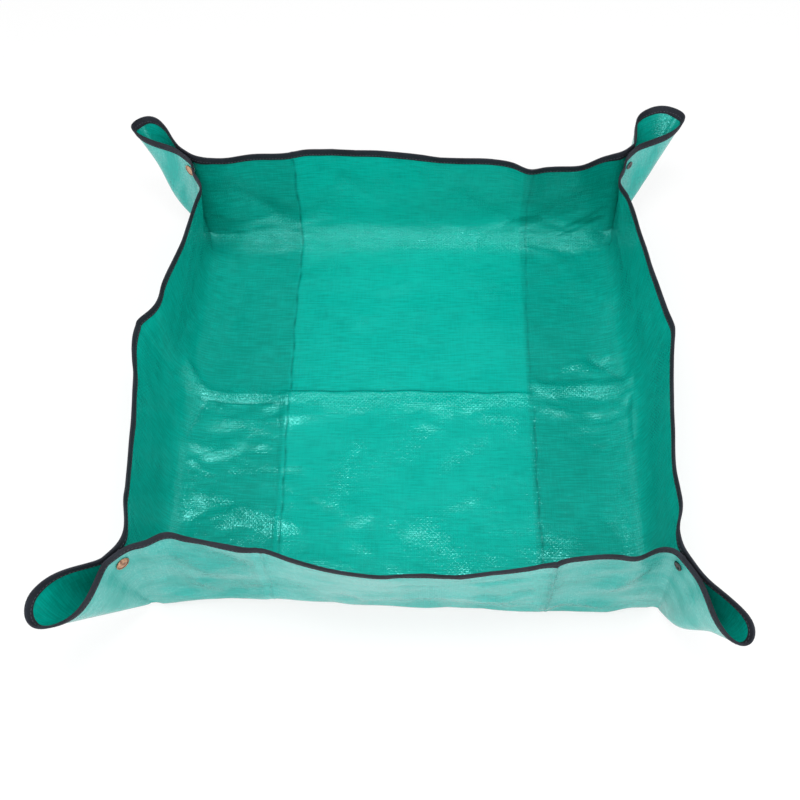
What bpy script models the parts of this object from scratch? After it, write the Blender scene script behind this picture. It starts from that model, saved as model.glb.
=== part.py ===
"""Repotting mat: a square of coated woven sheet with a taped edge, snapped at its corners into a tray.

Units are metres and +Z is up. The origin is at the middle of the floor, on the surface the mat stands on.
The front is -Y and the right is +X. The sheet is one square, cut here into panels along the lines where
it folds: the floor, four walls, and at each corner the two halves of the ear that the press stud
pinches together. A corner's fold lines meet in one point, the hub, so each ear is a cone about it.
"""

import math

import bmesh
import bpy
import numpy as np
from mathutils import Matrix, Vector

# The cut sheet and where it folds
MAT_SIDE = 0.680
WALL_RISE = 0.1155
PINCH_REACH = 0.1200
CORNER_RADIUS = 0.040
SHEET_THICKNESS = 0.0004
FOLD_REACH = 0.012

# How the tray stands
PINCH_GAP = 0.0050
CORNER_BLEND_SHARE = 0.72
EAR_BULGES = {"front_left": 0.0170, "front_right": 0.0160, "back_right": 0.0160, "back_left": 0.0160}
EAR_ROUND_POWER = 0.9
EAR_TAPER_POWER = 1.5
EAR_FLAT_MARGIN = 0.0005
FIRST_EAR_AZIMUTH = 225.0
EAR_SWING = {"front_left": 2.5, "front_right": -18.0, "back_right": 1.0, "back_left": 4.5}

# Outward lean of each wall in degrees, at shares of its half width from its left end seen from outside
LEAN_SHARES = (-0.75, -0.5, -0.25, 0.0, 0.25, 0.5, 0.75)
LEANS = {
    "front": (-3.0, 3.0, 11.0, 14.0, 13.0, 9.0, 3.5),
    "right": (0.5, 2.5, 6.5, 10.0, 5.0, 0.5, -3.0),
    "back": (-9.0, -7.0, -2.5, 1.5, 4.5, 4.5, 0.0),
    "left": (-6.5, -1.0, 4.0, 12.0, 9.0, 5.5, 3.0),
}

# The edge tape, folded over the cut edge
TAPE_WIDTH = 0.0085
TAPE_THICKNESS = 0.0005
TAPE_CLEARANCE = 0.0005
TAPE_CLOSED_SHARE = 0.7

# Clearances between pieces that touch
CLEARANCE = 0.0003
CREASE_TRIM = 0.0010
KEEL_TRIM = 0.0006
TAPE_KEEL_TRIM = 0.0018
WALL_HUB_TRIM = 0.0045
EAR_HUB_TRIM = 0.0130

# The press studs: cap and socket on one half of each ear, stud and post on the other
SNAP_INSET = 0.0105
SNAP_DROP = 0.0200
SEAT_CLEARANCE = 0.0004
CAP_RADIUS = 0.0062
CAP_RIM = 0.0005
CAP_DOME = 0.0013
CAP_DOME_TURNS = (25.0, 50.0, 75.0)
CAP_SHANK_RADIUS = 0.0013
SOCKET_RADIUS = 0.0050
SOCKET_BASE = 0.0004
SOCKET_WALL_HEIGHT = 0.0012
SOCKET_MOUTH_RADIUS = 0.0021
SOCKET_GROOVE_RADIUS = 0.0028
SPRING_RADIUS = 0.0022
SPRING_WIRE_RADIUS = 0.0002
SPRING_OPENING = 50.0
STUD_RADIUS = 0.0048
STUD_FLANGE = 0.0005
STUD_NECK_RADIUS = 0.0014
STUD_HEAD_RADIUS = 0.0017
STUD_REACH = 0.0011
POST_RADIUS = 0.0044
POST_DISH_RADIUS = 0.0022
POST_HEIGHT = 0.0008
POST_SHANK_RADIUS = 0.0007
SNAP_STEPS = 16
MERGE_DISTANCE = 0.00001

# How finely the cloth is divided
WALL_STATIONS = 16
EAR_STATIONS = 7
FLOOR_STATIONS = 9
LENGTH_SAMPLES = 61
LIFT_ROUNDS = 12

FLOOR_HALF = MAT_SIDE / 2 - WALL_RISE
CREASE_OFFSET = PINCH_REACH - WALL_RISE
SHEET_HALF = SHEET_THICKNESS / 2
QUARTER_TURN = math.pi / 2
HUB_RISE = SHEET_HALF + (2 * FOLD_REACH / QUARTER_TURN) * (1 - math.pi / 4)
TAPE_OFFSET = SHEET_HALF + TAPE_CLEARANCE + TAPE_THICKNESS / 2

# From each side's left end, seen from outside, its corner is the one that its cap sits at
SIDES = ("front", "right", "back", "left")
CORNERS = ("front_left", "front_right", "back_right", "back_left")

COLOURS = {
    "sheet": ((0.02, 0.42, 0.35), 0.4, 0.0),
    "tape": ((0.035, 0.04, 0.065), 0.75, 0.0),
    "copper": ((0.62, 0.40, 0.28), 0.3, 1.0),
    "steel": ((0.35, 0.35, 0.36), 0.3, 1.0),
}


def material(name):
    colour, roughness, metallic = COLOURS[name]
    made = bpy.data.materials.get(name) or bpy.data.materials.new(name)
    made.use_nodes = True
    shader = made.node_tree.nodes["Principled BSDF"]
    shader.inputs["Base Color"].default_value = (*colour, 1.0)
    shader.inputs["Roughness"].default_value = roughness
    shader.inputs["Metallic"].default_value = metallic
    return made


def fresh_collection(name):
    made = bpy.data.collections.get(name) or bpy.data.collections.new(name)
    if made.name not in bpy.context.scene.collection.children:
        bpy.context.scene.collection.children.link(made)
    return made


def turned(points, quarter_turns):
    """Points turned about the Z axis by whole quarter turns, counterclockwise seen from above."""
    angle = quarter_turns * QUARTER_TURN
    c, s = round(math.cos(angle)), round(math.sin(angle))
    x, y = points[..., 0], points[..., 1]
    return np.stack([c * x - s * y, s * x + c * y, points[..., 2]], axis=-1)


def smooth(x):
    x = np.clip(x, 0.0, 1.0)
    return x * x * (3 - 2 * x)


# The wall's section, measured outward and up from the floor's middle

def crease_tilt():
    """How far the wall's end crease runs outward from upright, in metres at the rim."""
    return PINCH_GAP / math.sqrt(2) - CREASE_OFFSET


def corner_angle():
    return math.acos(crease_tilt() / WALL_RISE)


def lean_along(side, share):
    """A wall's outward lean in radians along its length, on a smooth curve through its table."""
    shares = np.array((-1.0, *LEAN_SHARES, 1.0))
    corner = 90.0 - math.degrees(corner_angle())
    leans = np.radians((corner, *LEANS[side], corner))
    slopes = np.gradient(leans, shares)
    left = np.clip(np.searchsorted(shares, share, side="right") - 1, 0, len(shares) - 2)
    span = shares[left + 1] - shares[left]
    x = np.clip((share - shares[left]) / span, 0.0, 1.0)
    rise = smooth(x)
    tangent = span * (slopes[left] * x * (1 - x) ** 2 - slopes[left + 1] * x ** 2 * (1 - x))
    return leans[left] + (leans[left + 1] - leans[left]) * rise + tangent


def wall_section(beyond, share, side):
    """Outward and up for a point a flat distance beyond the crease, at a share of the half width."""
    angle = QUARTER_TURN - lean_along(side, share)
    radius = 2 * FOLD_REACH / angle
    along_arc = np.clip(beyond + FOLD_REACH, 0.0, 2 * FOLD_REACH) / radius
    past = np.maximum(beyond - FOLD_REACH, 0.0)
    before = np.minimum(beyond + FOLD_REACH, 0.0)
    start = FLOOR_HALF - FOLD_REACH
    soft_out = start + before + radius * np.sin(along_arc) + past * np.cos(angle)
    soft_up = radius * (1 - np.cos(along_arc)) + past * np.sin(angle)
    rise = HUB_RISE - SHEET_HALF
    above = np.maximum(beyond, 0.0)
    sharp_out = FLOOR_HALF + np.minimum(beyond, 0.0) + above * math.cos(corner_angle())
    sharp_up = rise * np.clip(1 + beyond / FOLD_REACH, 0.0, 1.0) + above * math.sin(corner_angle())
    sharpness = smooth((np.abs(share) - CORNER_BLEND_SHARE) / (1 - CORNER_BLEND_SHARE))
    out = soft_out + (sharp_out - soft_out) * sharpness
    up = soft_up + (sharp_up - soft_up) * sharpness
    return out, up


def wall_place(flat, side):
    """A wall as it stands: flat holds the place along the wall and the distance beyond its crease."""
    along, beyond = flat[..., 0], flat[..., 1]
    half = FLOOR_HALF - CREASE_OFFSET * np.maximum(beyond, 0.0) / WALL_RISE
    out, up = wall_section(beyond, np.clip(along / half, -1.0, 1.0), side)
    placed = np.stack([along, -out, SHEET_HALF + up], axis=-1)
    return turned(placed, SIDES.index(side))


def floor_place(flat):
    """The floor, whose margins begin to curl up into the walls."""
    x, y = flat[..., 0], flat[..., 1]
    right, up_right = wall_section(x - FLOOR_HALF, y / FLOOR_HALF, "right")
    left, up_left = wall_section(-x - FLOOR_HALF, -y / FLOOR_HALF, "left")
    back, up_back = wall_section(y - FLOOR_HALF, -x / FLOOR_HALF, "back")
    front, up_front = wall_section(-y - FLOOR_HALF, x / FLOOR_HALF, "front")
    up = np.maximum(np.maximum(up_right, up_left), np.maximum(up_back, up_front))
    across, deep = np.where(x < 0, -left, right), np.where(y < 0, -front, back)
    return np.stack([across, deep, SHEET_HALF + up], axis=-1)


# The ears, as cones about the hubs

def unit(v):
    return v / np.linalg.norm(v, axis=-1, keepdims=True)


def hub(corner):
    return turned(np.array([-FLOOR_HALF, -FLOOR_HALF, HUB_RISE]), CORNERS.index(corner))


def ear_sector():
    """The flat angle at the hub between the ear's keel and either of its creases."""
    return math.pi / 4 + math.atan2(CREASE_OFFSET, WALL_RISE)


def crease_direction(corner, kind):
    """From the hub along the crease between a wall and the ear half with the cap or with the stud."""
    up = WALL_RISE * math.sin(corner_angle())
    if kind == "cap":
        rest = np.array([CREASE_OFFSET, -crease_tilt(), up])
    else:
        rest = np.array([-crease_tilt(), CREASE_OFFSET, up])
    return turned(unit(rest), CORNERS.index(corner))


def snap_reach():
    """Along the crease, the distance from the hub to the stud."""
    return WALL_RISE / math.cos(math.pi / 4 - ear_sector()) - SNAP_DROP


def flat_angle():
    """The angle off the crease within which an ear half is flat, to seat the stud."""
    return math.atan2(SNAP_INSET + CAP_RADIUS + EAR_FLAT_MARGIN, snap_reach() - CAP_RADIUS)


def ear_bulge(share, span, corner):
    """How far an ear half swells off the plane of its keel and crease, per metre from the hub."""
    x = np.clip(share / (1 - flat_angle() / span), 0.0, 1.0)
    peak = EAR_ROUND_POWER / (EAR_ROUND_POWER + EAR_TAPER_POWER)
    swell = (x / peak) ** EAR_ROUND_POWER * ((1 - x) / (1 - peak)) ** EAR_TAPER_POWER
    return EAR_BULGES[corner] / WALL_RISE * swell


def ear_curve(corner, keel, crease, outward):
    """Unit rays from the hub across an ear half, keel to crease, and the flat angle at each."""
    span = math.acos(keel @ crease)
    share = np.linspace(0.0, 1.0, LENGTH_SAMPLES) ** 2
    along_keel = np.sin((1 - share) * span) / math.sin(span)
    along_crease = np.sin(share * span) / math.sin(span)
    rays = along_keel[:, None] * keel + along_crease[:, None] * crease
    rays = unit(rays + ear_bulge(share, span, corner)[:, None] * outward)
    steps = np.linalg.norm(np.diff(rays, axis=0), axis=-1)
    return rays, np.concatenate([[0.0], np.cumsum(steps)])


def ear_rays(angle, corner, kind):
    """Unit rays from the hub at flat angles off the keel."""
    rays, angles = ear_curve(corner, *ear_lines(corner, kind))
    angles = angles * (ear_sector() / angles[-1])
    return unit(np.stack([np.interp(angle, angles, rays[:, axis]) for axis in range(3)], axis=-1))


def keel_direction(corner):
    """From the hub along the ear's lower fold, at the height that keeps the cut sheet's own angles."""
    azimuth = math.radians(FIRST_EAR_AZIMUTH + EAR_SWING[corner])
    outward = turned(np.array([math.cos(azimuth), math.sin(azimuth), 0.0]), CORNERS.index(corner))
    crease = crease_direction(corner, "cap")
    lift = ear_sector()
    for _ in range(LIFT_ROUNDS):
        keel = outward * math.cos(lift) + np.array([0.0, 0.0, math.sin(lift)])
        lift += ear_curve(corner, keel, crease, unit(np.cross(keel, crease)))[1][-1] - ear_sector()
    return keel


def ear_lines(corner, kind):
    """An ear half's keel and crease, and the outward normal of the plane through them."""
    keel, crease = keel_direction(corner), crease_direction(corner, kind)
    outward = unit(np.cross(keel, crease))
    other = crease_direction(corner, "stud" if kind == "cap" else "cap")
    return keel, crease, outward * -np.sign(outward @ other)


def ear_place(flat, corner, kind):
    """An ear half: flat holds the distance along the keel from the hub and the distance off the keel."""
    reach = np.hypot(flat[..., 0], flat[..., 1])
    angle = np.arctan2(flat[..., 1], flat[..., 0])
    return hub(corner) + reach[..., None] * ear_rays(angle, corner, kind)


def ear_rim(angle, inset):
    """From the hub to the mat's rounded corner, drawn in by inset, at an angle off the keel."""
    rise, radius = WALL_RISE - inset, CORNER_RADIUS - inset
    centre = (rise - radius) * math.sqrt(2)
    straight = rise / math.cos(math.pi / 4 - angle)
    turn = math.pi / 4 - math.atan2(rise - radius, rise)
    if angle >= turn:
        return straight
    return centre * math.cos(angle) + math.sqrt(radius ** 2 - (centre * math.sin(angle)) ** 2)


# Panels and tape as open grids, thickened by a Solidify modifier

def surface_normals(place, flat, facing):
    """Unit normals of a placed surface, all on the outer side, from small steps in the flat sheet."""
    step = CLEARANCE
    du, dv = np.array([step, 0.0]), np.array([0.0, step])
    across = place(flat + du) - place(flat - du)
    down = place(flat + dv) - place(flat - dv)
    return facing * unit(np.cross(across, down))


def grid_object(name, rows, finish, thickness, collection):
    """A quilt of quads through rows of points, with a Solidify modifier that thickens it both ways."""
    rows = np.asarray(rows)
    count, width = rows.shape[:2]
    shape = bmesh.new()
    bmesh.ops.create_grid(shape, x_segments=width - 1, y_segments=count - 1, size=1.0)
    shape.verts.ensure_lookup_table()
    for index, vertex in enumerate(shape.verts):
        vertex.co = Vector(rows[index // width, index % width])
    mesh = bpy.data.meshes.new(name)
    shape.to_mesh(mesh)
    shape.free()
    mesh.shade_smooth()
    made = bpy.data.objects.new(name, mesh)
    made.data.materials.append(material(finish))
    collection.objects.link(made)
    shell = made.modifiers.new("thickness", "SOLIDIFY")
    shell.thickness = thickness
    shell.offset = 0.0
    shell.use_even_offset = True
    return made


def tape_object(name, place, edge, inset, beyond, facing, collection):
    """Tape folded round a stretch of edge: edge, inset and beyond are matching rows of flat points."""
    rows = []
    inner_n = surface_normals(place, inset, facing)
    edge_n = surface_normals(place, edge, facing)
    inner, outer = place(inset), place(beyond)
    rows.append(inner + TAPE_OFFSET * inner_n)
    rows.append(place(edge) + TAPE_OFFSET * edge_n)
    rows.append(outer + TAPE_CLOSED_SHARE * TAPE_OFFSET * edge_n)
    rows.append(outer - TAPE_CLOSED_SHARE * TAPE_OFFSET * edge_n)
    rows.append(place(edge) - TAPE_OFFSET * edge_n)
    rows.append(inner - TAPE_OFFSET * inner_n)
    return grid_object(name, rows, "tape", TAPE_THICKNESS, collection)


def wall_flat(beyond, stations, trim):
    """Flat points across a wall at one distance beyond its crease, short of both end creases by trim."""
    half = FLOOR_HALF - CREASE_OFFSET * max(beyond, 0.0) / WALL_RISE - trim
    return np.stack([stations * half, np.full(len(stations), beyond)], axis=-1)


def build_wall(side, collection):
    place = lambda flat: wall_place(flat, side)
    even = np.linspace(-1.0, 1.0, WALL_STATIONS + 1)
    stations = (even + np.sin(even * QUARTER_TURN)) / 2
    inset_rise = WALL_RISE - TAPE_WIDTH
    start = CLEARANCE / 2
    rises = [start, FOLD_REACH / 2, FOLD_REACH, (FOLD_REACH + inset_rise) / 2, inset_rise, WALL_RISE]
    trims = [WALL_HUB_TRIM, CREASE_TRIM, CREASE_TRIM, CREASE_TRIM, CREASE_TRIM, CREASE_TRIM]
    flats = [wall_flat(rise, stations, trim) for rise, trim in zip(rises, trims)]
    grid_object(f"{side}_wall", [place(f) for f in flats], "sheet", SHEET_THICKNESS, collection)
    outside = wall_flat(WALL_RISE + TAPE_CLEARANCE + TAPE_THICKNESS / 2, stations, CREASE_TRIM)
    tape_object(f"{side}_tape", place, flats[-1], flats[-2], outside, 1.0, collection)


def ear_angles(keel_trim, crease_trim, reach):
    """Angles off the keel, denser near it, with one on the line where the ear turns flat."""
    first, flat, last = keel_trim / reach, ear_sector() - flat_angle(), ear_sector() - crease_trim / reach
    spread = np.linspace(0.0, 1.0, EAR_STATIONS) ** EAR_TAPER_POWER
    return np.append(first + (flat - first) * spread, last)


def ear_flat(angles, inset):
    """Flat points along the mat's rounded corner, drawn in by inset."""
    reach = np.array([ear_rim(a, inset) for a in angles])
    return np.stack([reach * np.cos(angles), reach * np.sin(angles)], axis=-1)


def build_ear_half(corner, kind, collection):
    place = lambda flat: ear_place(flat, corner, kind)
    rim_reach = ear_rim(ear_sector(), 0.0)
    angles = ear_angles(KEEL_TRIM, CREASE_TRIM, rim_reach)
    edge, inset = ear_flat(angles, 0.0), ear_flat(angles, TAPE_WIDTH)
    near = ear_angles(KEEL_TRIM, CREASE_TRIM, EAR_HUB_TRIM)
    base = np.stack([EAR_HUB_TRIM * np.cos(near), EAR_HUB_TRIM * np.sin(near)], axis=-1)
    rows = [base, base + (inset - base) / 3, base + (inset - base) * 2 / 3, inset, edge]
    placed = [place(r) for r in rows]
    half = grid_object(f"{corner}_{kind}_ear", placed, "sheet", SHEET_THICKNESS, collection)
    facing = 1.0 if kind == "cap" else -1.0
    angles = ear_angles(TAPE_KEEL_TRIM, CREASE_TRIM, rim_reach)
    edge, inset = ear_flat(angles, 0.0), ear_flat(angles, TAPE_WIDTH)
    outside = ear_flat(angles, -(TAPE_CLEARANCE + TAPE_THICKNESS / 2))
    tape_object(f"{corner}_{kind}_ear_tape", place, edge, inset, outside, facing, collection)
    return half


# The press studs

def snap_place(corner, kind):
    """Where the stud's axis meets an ear half."""
    sector = ear_sector()
    crease = np.array([math.cos(sector), math.sin(sector)])
    inward = np.array([math.sin(sector), -math.cos(sector)])
    return ear_place(snap_reach() * crease + SNAP_INSET * inward, corner, kind)


def snap_frame(corner):
    """A frame midway between the ear's halves, Z toward the one with the cap, and its distance to them."""
    cap, stud = snap_place(corner, "cap"), snap_place(corner, "stud")
    axis = unit(ear_lines(corner, "cap")[2] - ear_lines(corner, "stud")[2])
    turn = Vector(axis).to_track_quat("Z", "Y").to_matrix().to_4x4()
    return Matrix.Translation(Vector((cap + stud) / 2)) @ turn, (cap - stud) @ axis / 2


def turned_object(name, profile, finish, frame, collection, closed=False):
    """A profile of radius and height points, run outside downward, turned about the frame's Z axis."""
    edges = [(i, i + 1) for i in range(len(profile) - 1)]
    if closed:
        edges.append((len(profile) - 1, 0))
    mesh = bpy.data.meshes.new(name)
    mesh.from_pydata([(radius, 0.0, height) for radius, height in profile], edges, [])
    mesh.materials.append(material(finish))
    made = bpy.data.objects.new(name, mesh)
    made.matrix_world = frame
    collection.objects.link(made)
    screw = made.modifiers.new("turning", "SCREW")
    screw.steps = SNAP_STEPS
    screw.render_steps = SNAP_STEPS
    screw.use_merge_vertices = True
    screw.merge_threshold = MERGE_DISTANCE
    return made


def build_cap(corner, frame, half_gap, collection):
    seat = half_gap + SHEET_HALF + SEAT_CLEARANCE
    inner = half_gap - SHEET_HALF - SEAT_CLEARANCE - SOCKET_BASE
    rim = seat + CAP_RIM
    profile = [(0.0, rim + CAP_DOME)]
    for turn in CAP_DOME_TURNS:
        angle = math.radians(turn)
        profile.append((CAP_RADIUS * math.sin(angle), rim + CAP_DOME * math.cos(angle)))
    profile += [(CAP_RADIUS, rim), (CAP_RADIUS, seat), (CAP_SHANK_RADIUS, seat)]
    profile += [(CAP_SHANK_RADIUS, inner), (0.0, inner)]
    turned_object(f"{corner}_snap_cap", profile, "copper", frame, collection)


def build_socket(corner, frame, half_gap, collection):
    top = half_gap - SHEET_HALF - SEAT_CLEARANCE
    base = top - SOCKET_BASE
    foot = base - SOCKET_WALL_HEIGHT
    hole = CAP_SHANK_RADIUS + CLEARANCE
    lip = SOCKET_WALL_HEIGHT - 2 * (SPRING_WIRE_RADIUS + CLEARANCE)
    shoulder = SOCKET_RADIUS - SOCKET_BASE
    profile = [
        (hole, top), (shoulder, top), (SOCKET_RADIUS, base), (SOCKET_RADIUS, foot + SOCKET_BASE),
        (shoulder, foot), (SOCKET_MOUTH_RADIUS, foot), (SOCKET_MOUTH_RADIUS, foot + lip),
        (SOCKET_GROOVE_RADIUS, foot + lip), (SOCKET_GROOVE_RADIUS, base), (hole, base),
    ]
    turned_object(f"{corner}_snap_socket", profile, "steel", frame, collection, closed=True)


def build_spring(corner, frame, half_gap, collection):
    """The open wire ring that lies in the socket's groove."""
    middle = half_gap - SHEET_HALF - SEAT_CLEARANCE - SOCKET_BASE - CLEARANCE - SPRING_WIRE_RADIUS
    curve = bpy.data.curves.new(f"{corner}_snap_spring", "CURVE")
    curve.dimensions = "3D"
    curve.bevel_depth = SPRING_WIRE_RADIUS
    curve.bevel_resolution = 0
    curve.use_fill_caps = True
    spline = curve.splines.new("POLY")
    turns = np.radians(np.linspace(SPRING_OPENING / 2, 360 - SPRING_OPENING / 2, SNAP_STEPS))
    spline.points.add(len(turns) - 1)
    for point, turn in zip(spline.points, turns):
        point.co = (SPRING_RADIUS * math.cos(turn), SPRING_RADIUS * math.sin(turn), middle, 1.0)
    curve.materials.append(material("steel"))
    made = bpy.data.objects.new(f"{corner}_snap_spring", curve)
    made.matrix_world = frame
    collection.objects.link(made)


def build_stud(corner, frame, half_gap, collection):
    seat = -(half_gap - SHEET_HALF - SEAT_CLEARANCE)
    face = seat + STUD_FLANGE
    tip = face + STUD_REACH
    hole = POST_SHANK_RADIUS + CLEARANCE
    waist = face + STUD_REACH / 2
    profile = [
        (0.0, tip), (STUD_NECK_RADIUS, tip), (STUD_HEAD_RADIUS, waist), (STUD_NECK_RADIUS, face),
        (STUD_RADIUS, face), (STUD_RADIUS, seat), (hole, seat), (hole, face), (0.0, face),
    ]
    turned_object(f"{corner}_snap_stud", profile, "steel", frame, collection)


def build_post(corner, frame, half_gap, collection):
    seat = -(half_gap + SHEET_HALF + SEAT_CLEARANCE)
    end = -(half_gap - SHEET_HALF - SEAT_CLEARANCE) + STUD_FLANGE - CLEARANCE
    foot = seat - POST_HEIGHT
    profile = [
        (0.0, end), (POST_SHANK_RADIUS, end), (POST_SHANK_RADIUS, seat), (POST_RADIUS, seat),
        (POST_RADIUS, seat - POST_HEIGHT / 2), ((POST_RADIUS + POST_DISH_RADIUS) / 2, foot),
        (POST_DISH_RADIUS, foot + POST_HEIGHT / 4), (0.0, foot + POST_HEIGHT / 2),
    ]
    turned_object(f"{corner}_snap_post", profile, "steel", frame, collection)


def cut_hole(panel, name, frame, radius, cutters):
    """A round hole through an ear half, for the shank that joins the pieces on its two faces."""
    reach = SOCKET_RADIUS
    bpy.ops.mesh.primitive_cylinder_add(vertices=SNAP_STEPS, radius=radius, depth=2 * reach)
    cutter = bpy.context.object
    cutter.name = name
    cutter.matrix_world = frame
    for owner in list(cutter.users_collection):
        owner.objects.unlink(cutter)
    cutters.objects.link(cutter)
    cutter.hide_render = True
    cutter.display_type = "WIRE"
    cut = panel.modifiers.new("hole", "BOOLEAN")
    cut.operation = "DIFFERENCE"
    cut.object = cutter


def build_snap(corner, halves, collection, cutters):
    frame, half_gap = snap_frame(corner)
    build_cap(corner, frame, half_gap, collection)
    build_socket(corner, frame, half_gap, collection)
    build_spring(corner, frame, half_gap, collection)
    build_stud(corner, frame, half_gap, collection)
    build_post(corner, frame, half_gap, collection)
    reach = Matrix.Translation((0.0, 0.0, SOCKET_RADIUS))
    back = Matrix.Translation((0.0, 0.0, -SOCKET_RADIUS))
    cap_hole, post_hole = CAP_SHANK_RADIUS + SEAT_CLEARANCE, POST_SHANK_RADIUS + SEAT_CLEARANCE
    cut_hole(halves["cap"], f"{corner}_cap_hole", frame @ reach, cap_hole, cutters)
    cut_hole(halves["stud"], f"{corner}_post_hole", frame @ back, post_hole, cutters)


def build_floor(collection):
    reach = FLOOR_HALF - CLEARANCE / 2
    edge = [reach, FLOOR_HALF - FOLD_REACH / 2, FLOOR_HALF - FOLD_REACH]
    inner = np.linspace(-edge[-1], edge[-1], FLOOR_STATIONS)[1:-1]
    stations = np.array([-e for e in edge] + list(inner) + edge[::-1])
    x, y = np.meshgrid(stations, stations)
    corner = (np.abs(x) > edge[1]) & (np.abs(y) > edge[1])
    x = np.where(corner, np.sign(x) * (reach - WALL_HUB_TRIM), x)
    y = np.where(corner, np.sign(y) * (reach - WALL_HUB_TRIM), y)
    grid_object("floor_panel", floor_place(np.stack([x, y], axis=-1)), "sheet", SHEET_THICKNESS, collection)


# Empties on the fold lines, one for each piece that turns

def pivot(name, place, carrier, collection):
    """An empty at a world place, carried by another empty."""
    made = bpy.data.objects.new(name, None)
    collection.objects.link(made)
    made.empty_display_size = FOLD_REACH
    made.parent = carrier
    made.location = Vector(place) - (world_place(carrier) if carrier else Vector())
    return made


def world_place(empty):
    """The world place of an empty in a chain of unturned empties."""
    place = Vector()
    while empty:
        place += empty.location
        empty = empty.parent
    return place


def carry(piece, empty):
    piece.parent = empty
    piece.matrix_parent_inverse = Matrix.Translation(-world_place(empty))


def hang_on_pivots(parts):
    walls = {}
    for side in SIDES:
        middle = turned(np.array([0.0, -FLOOR_HALF, HUB_RISE]), SIDES.index(side))
        walls[side] = pivot(f"{side}_fold", middle, None, parts)
        for piece in ("wall", "tape"):
            carry(bpy.data.objects[f"{side}_{piece}"], walls[side])
    for side, corner in zip(SIDES, CORNERS):
        cap = pivot(f"{corner}_crease", hub(corner), walls[side], parts)
        stud = pivot(f"{corner}_keel", hub(corner), cap, parts)
        for piece in ("cap_ear", "cap_ear_tape", "snap_cap", "snap_socket", "snap_spring", "cap_hole"):
            carry(bpy.data.objects[f"{corner}_{piece}"], cap)
        for piece in ("stud_ear", "stud_ear_tape", "snap_stud", "snap_post", "post_hole"):
            carry(bpy.data.objects[f"{corner}_{piece}"], stud)


def main():
    for old in list(bpy.data.objects):
        bpy.data.objects.remove(old, do_unlink=True)
    parts = fresh_collection("repotting_mat")
    cutters = fresh_collection("cutters")
    build_floor(parts)
    for side in SIDES:
        build_wall(side, parts)
    for corner in CORNERS:
        halves = {kind: build_ear_half(corner, kind, parts) for kind in ("cap", "stud")}
        build_snap(corner, halves, parts, cutters)
    hang_on_pivots(parts)


main()
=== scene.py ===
"""Looks of the repotting mat: one coated woven sheet, its edge tape and its press studs.

The whole sheet is shaped as one surface from its flat cut, creased and rounded, and only then cut into the
pieces that ride on the bodies. Units are metres. The front is -Y, the right is +X and the floor is z = 0.
"""

import math

import bpy
import numpy as np
from mathutils import Matrix, Vector


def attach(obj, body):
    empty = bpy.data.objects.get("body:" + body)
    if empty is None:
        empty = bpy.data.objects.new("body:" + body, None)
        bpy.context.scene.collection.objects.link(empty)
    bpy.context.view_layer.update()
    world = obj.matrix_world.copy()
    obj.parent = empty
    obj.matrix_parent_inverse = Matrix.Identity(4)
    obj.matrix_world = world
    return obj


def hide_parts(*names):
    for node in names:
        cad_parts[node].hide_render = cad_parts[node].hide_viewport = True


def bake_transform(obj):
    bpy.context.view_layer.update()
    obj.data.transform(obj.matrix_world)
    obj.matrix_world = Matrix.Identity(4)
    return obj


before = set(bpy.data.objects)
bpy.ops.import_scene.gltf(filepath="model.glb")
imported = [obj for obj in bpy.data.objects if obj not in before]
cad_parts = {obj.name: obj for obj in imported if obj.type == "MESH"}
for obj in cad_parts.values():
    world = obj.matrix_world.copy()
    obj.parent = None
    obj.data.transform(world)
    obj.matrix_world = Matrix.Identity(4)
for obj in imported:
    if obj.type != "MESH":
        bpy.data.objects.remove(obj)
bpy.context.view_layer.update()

# The cut sheet and where it folds, as in the construction
MAT_SIDE = 0.680
WALL_RISE = 0.1155
PINCH_REACH = 0.1200
CORNER_RADIUS = 0.040
SHEET_THICKNESS = 0.0004
FOLD_REACH = 0.012
PINCH_GAP = 0.0050
CORNER_BLEND_SHARE = 0.80
EAR_BULGES = {"front_left": 0.0170, "front_right": 0.0160, "back_right": 0.0160, "back_left": 0.0160}
EAR_FULLNESS = {
    "front_left": (1.0, 1.0), "front_right": (0.5, 0.6), "back_right": (1.5, 0.8), "back_left": (0.7, 0.7)}
EAR_ROUND_POWER = 0.9
EAR_TAPER_POWERS = {"front_left": 1.5, "front_right": 2.6, "back_right": 1.5, "back_left": 2.0}
EAR_FLAT_MARGIN = 0.0005
FIRST_EAR_AZIMUTH = 225.0
EAR_SWING = {"front_left": 2.5, "front_right": -18.0, "back_right": 1.0, "back_left": 4.5}
# Where an ear's lower fold sags: how far out along it, over what reach, and by how much
KEEL_SAGS = (
    ("front_right", 0.045, 0.060, (-0.002, -0.007, -0.004)),
    ("back_left", 0.050, 0.060, (-0.008, 0.002, -0.005)),
)
LIFT_ROUNDS = 12
RAY_SAMPLES = 241

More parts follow.
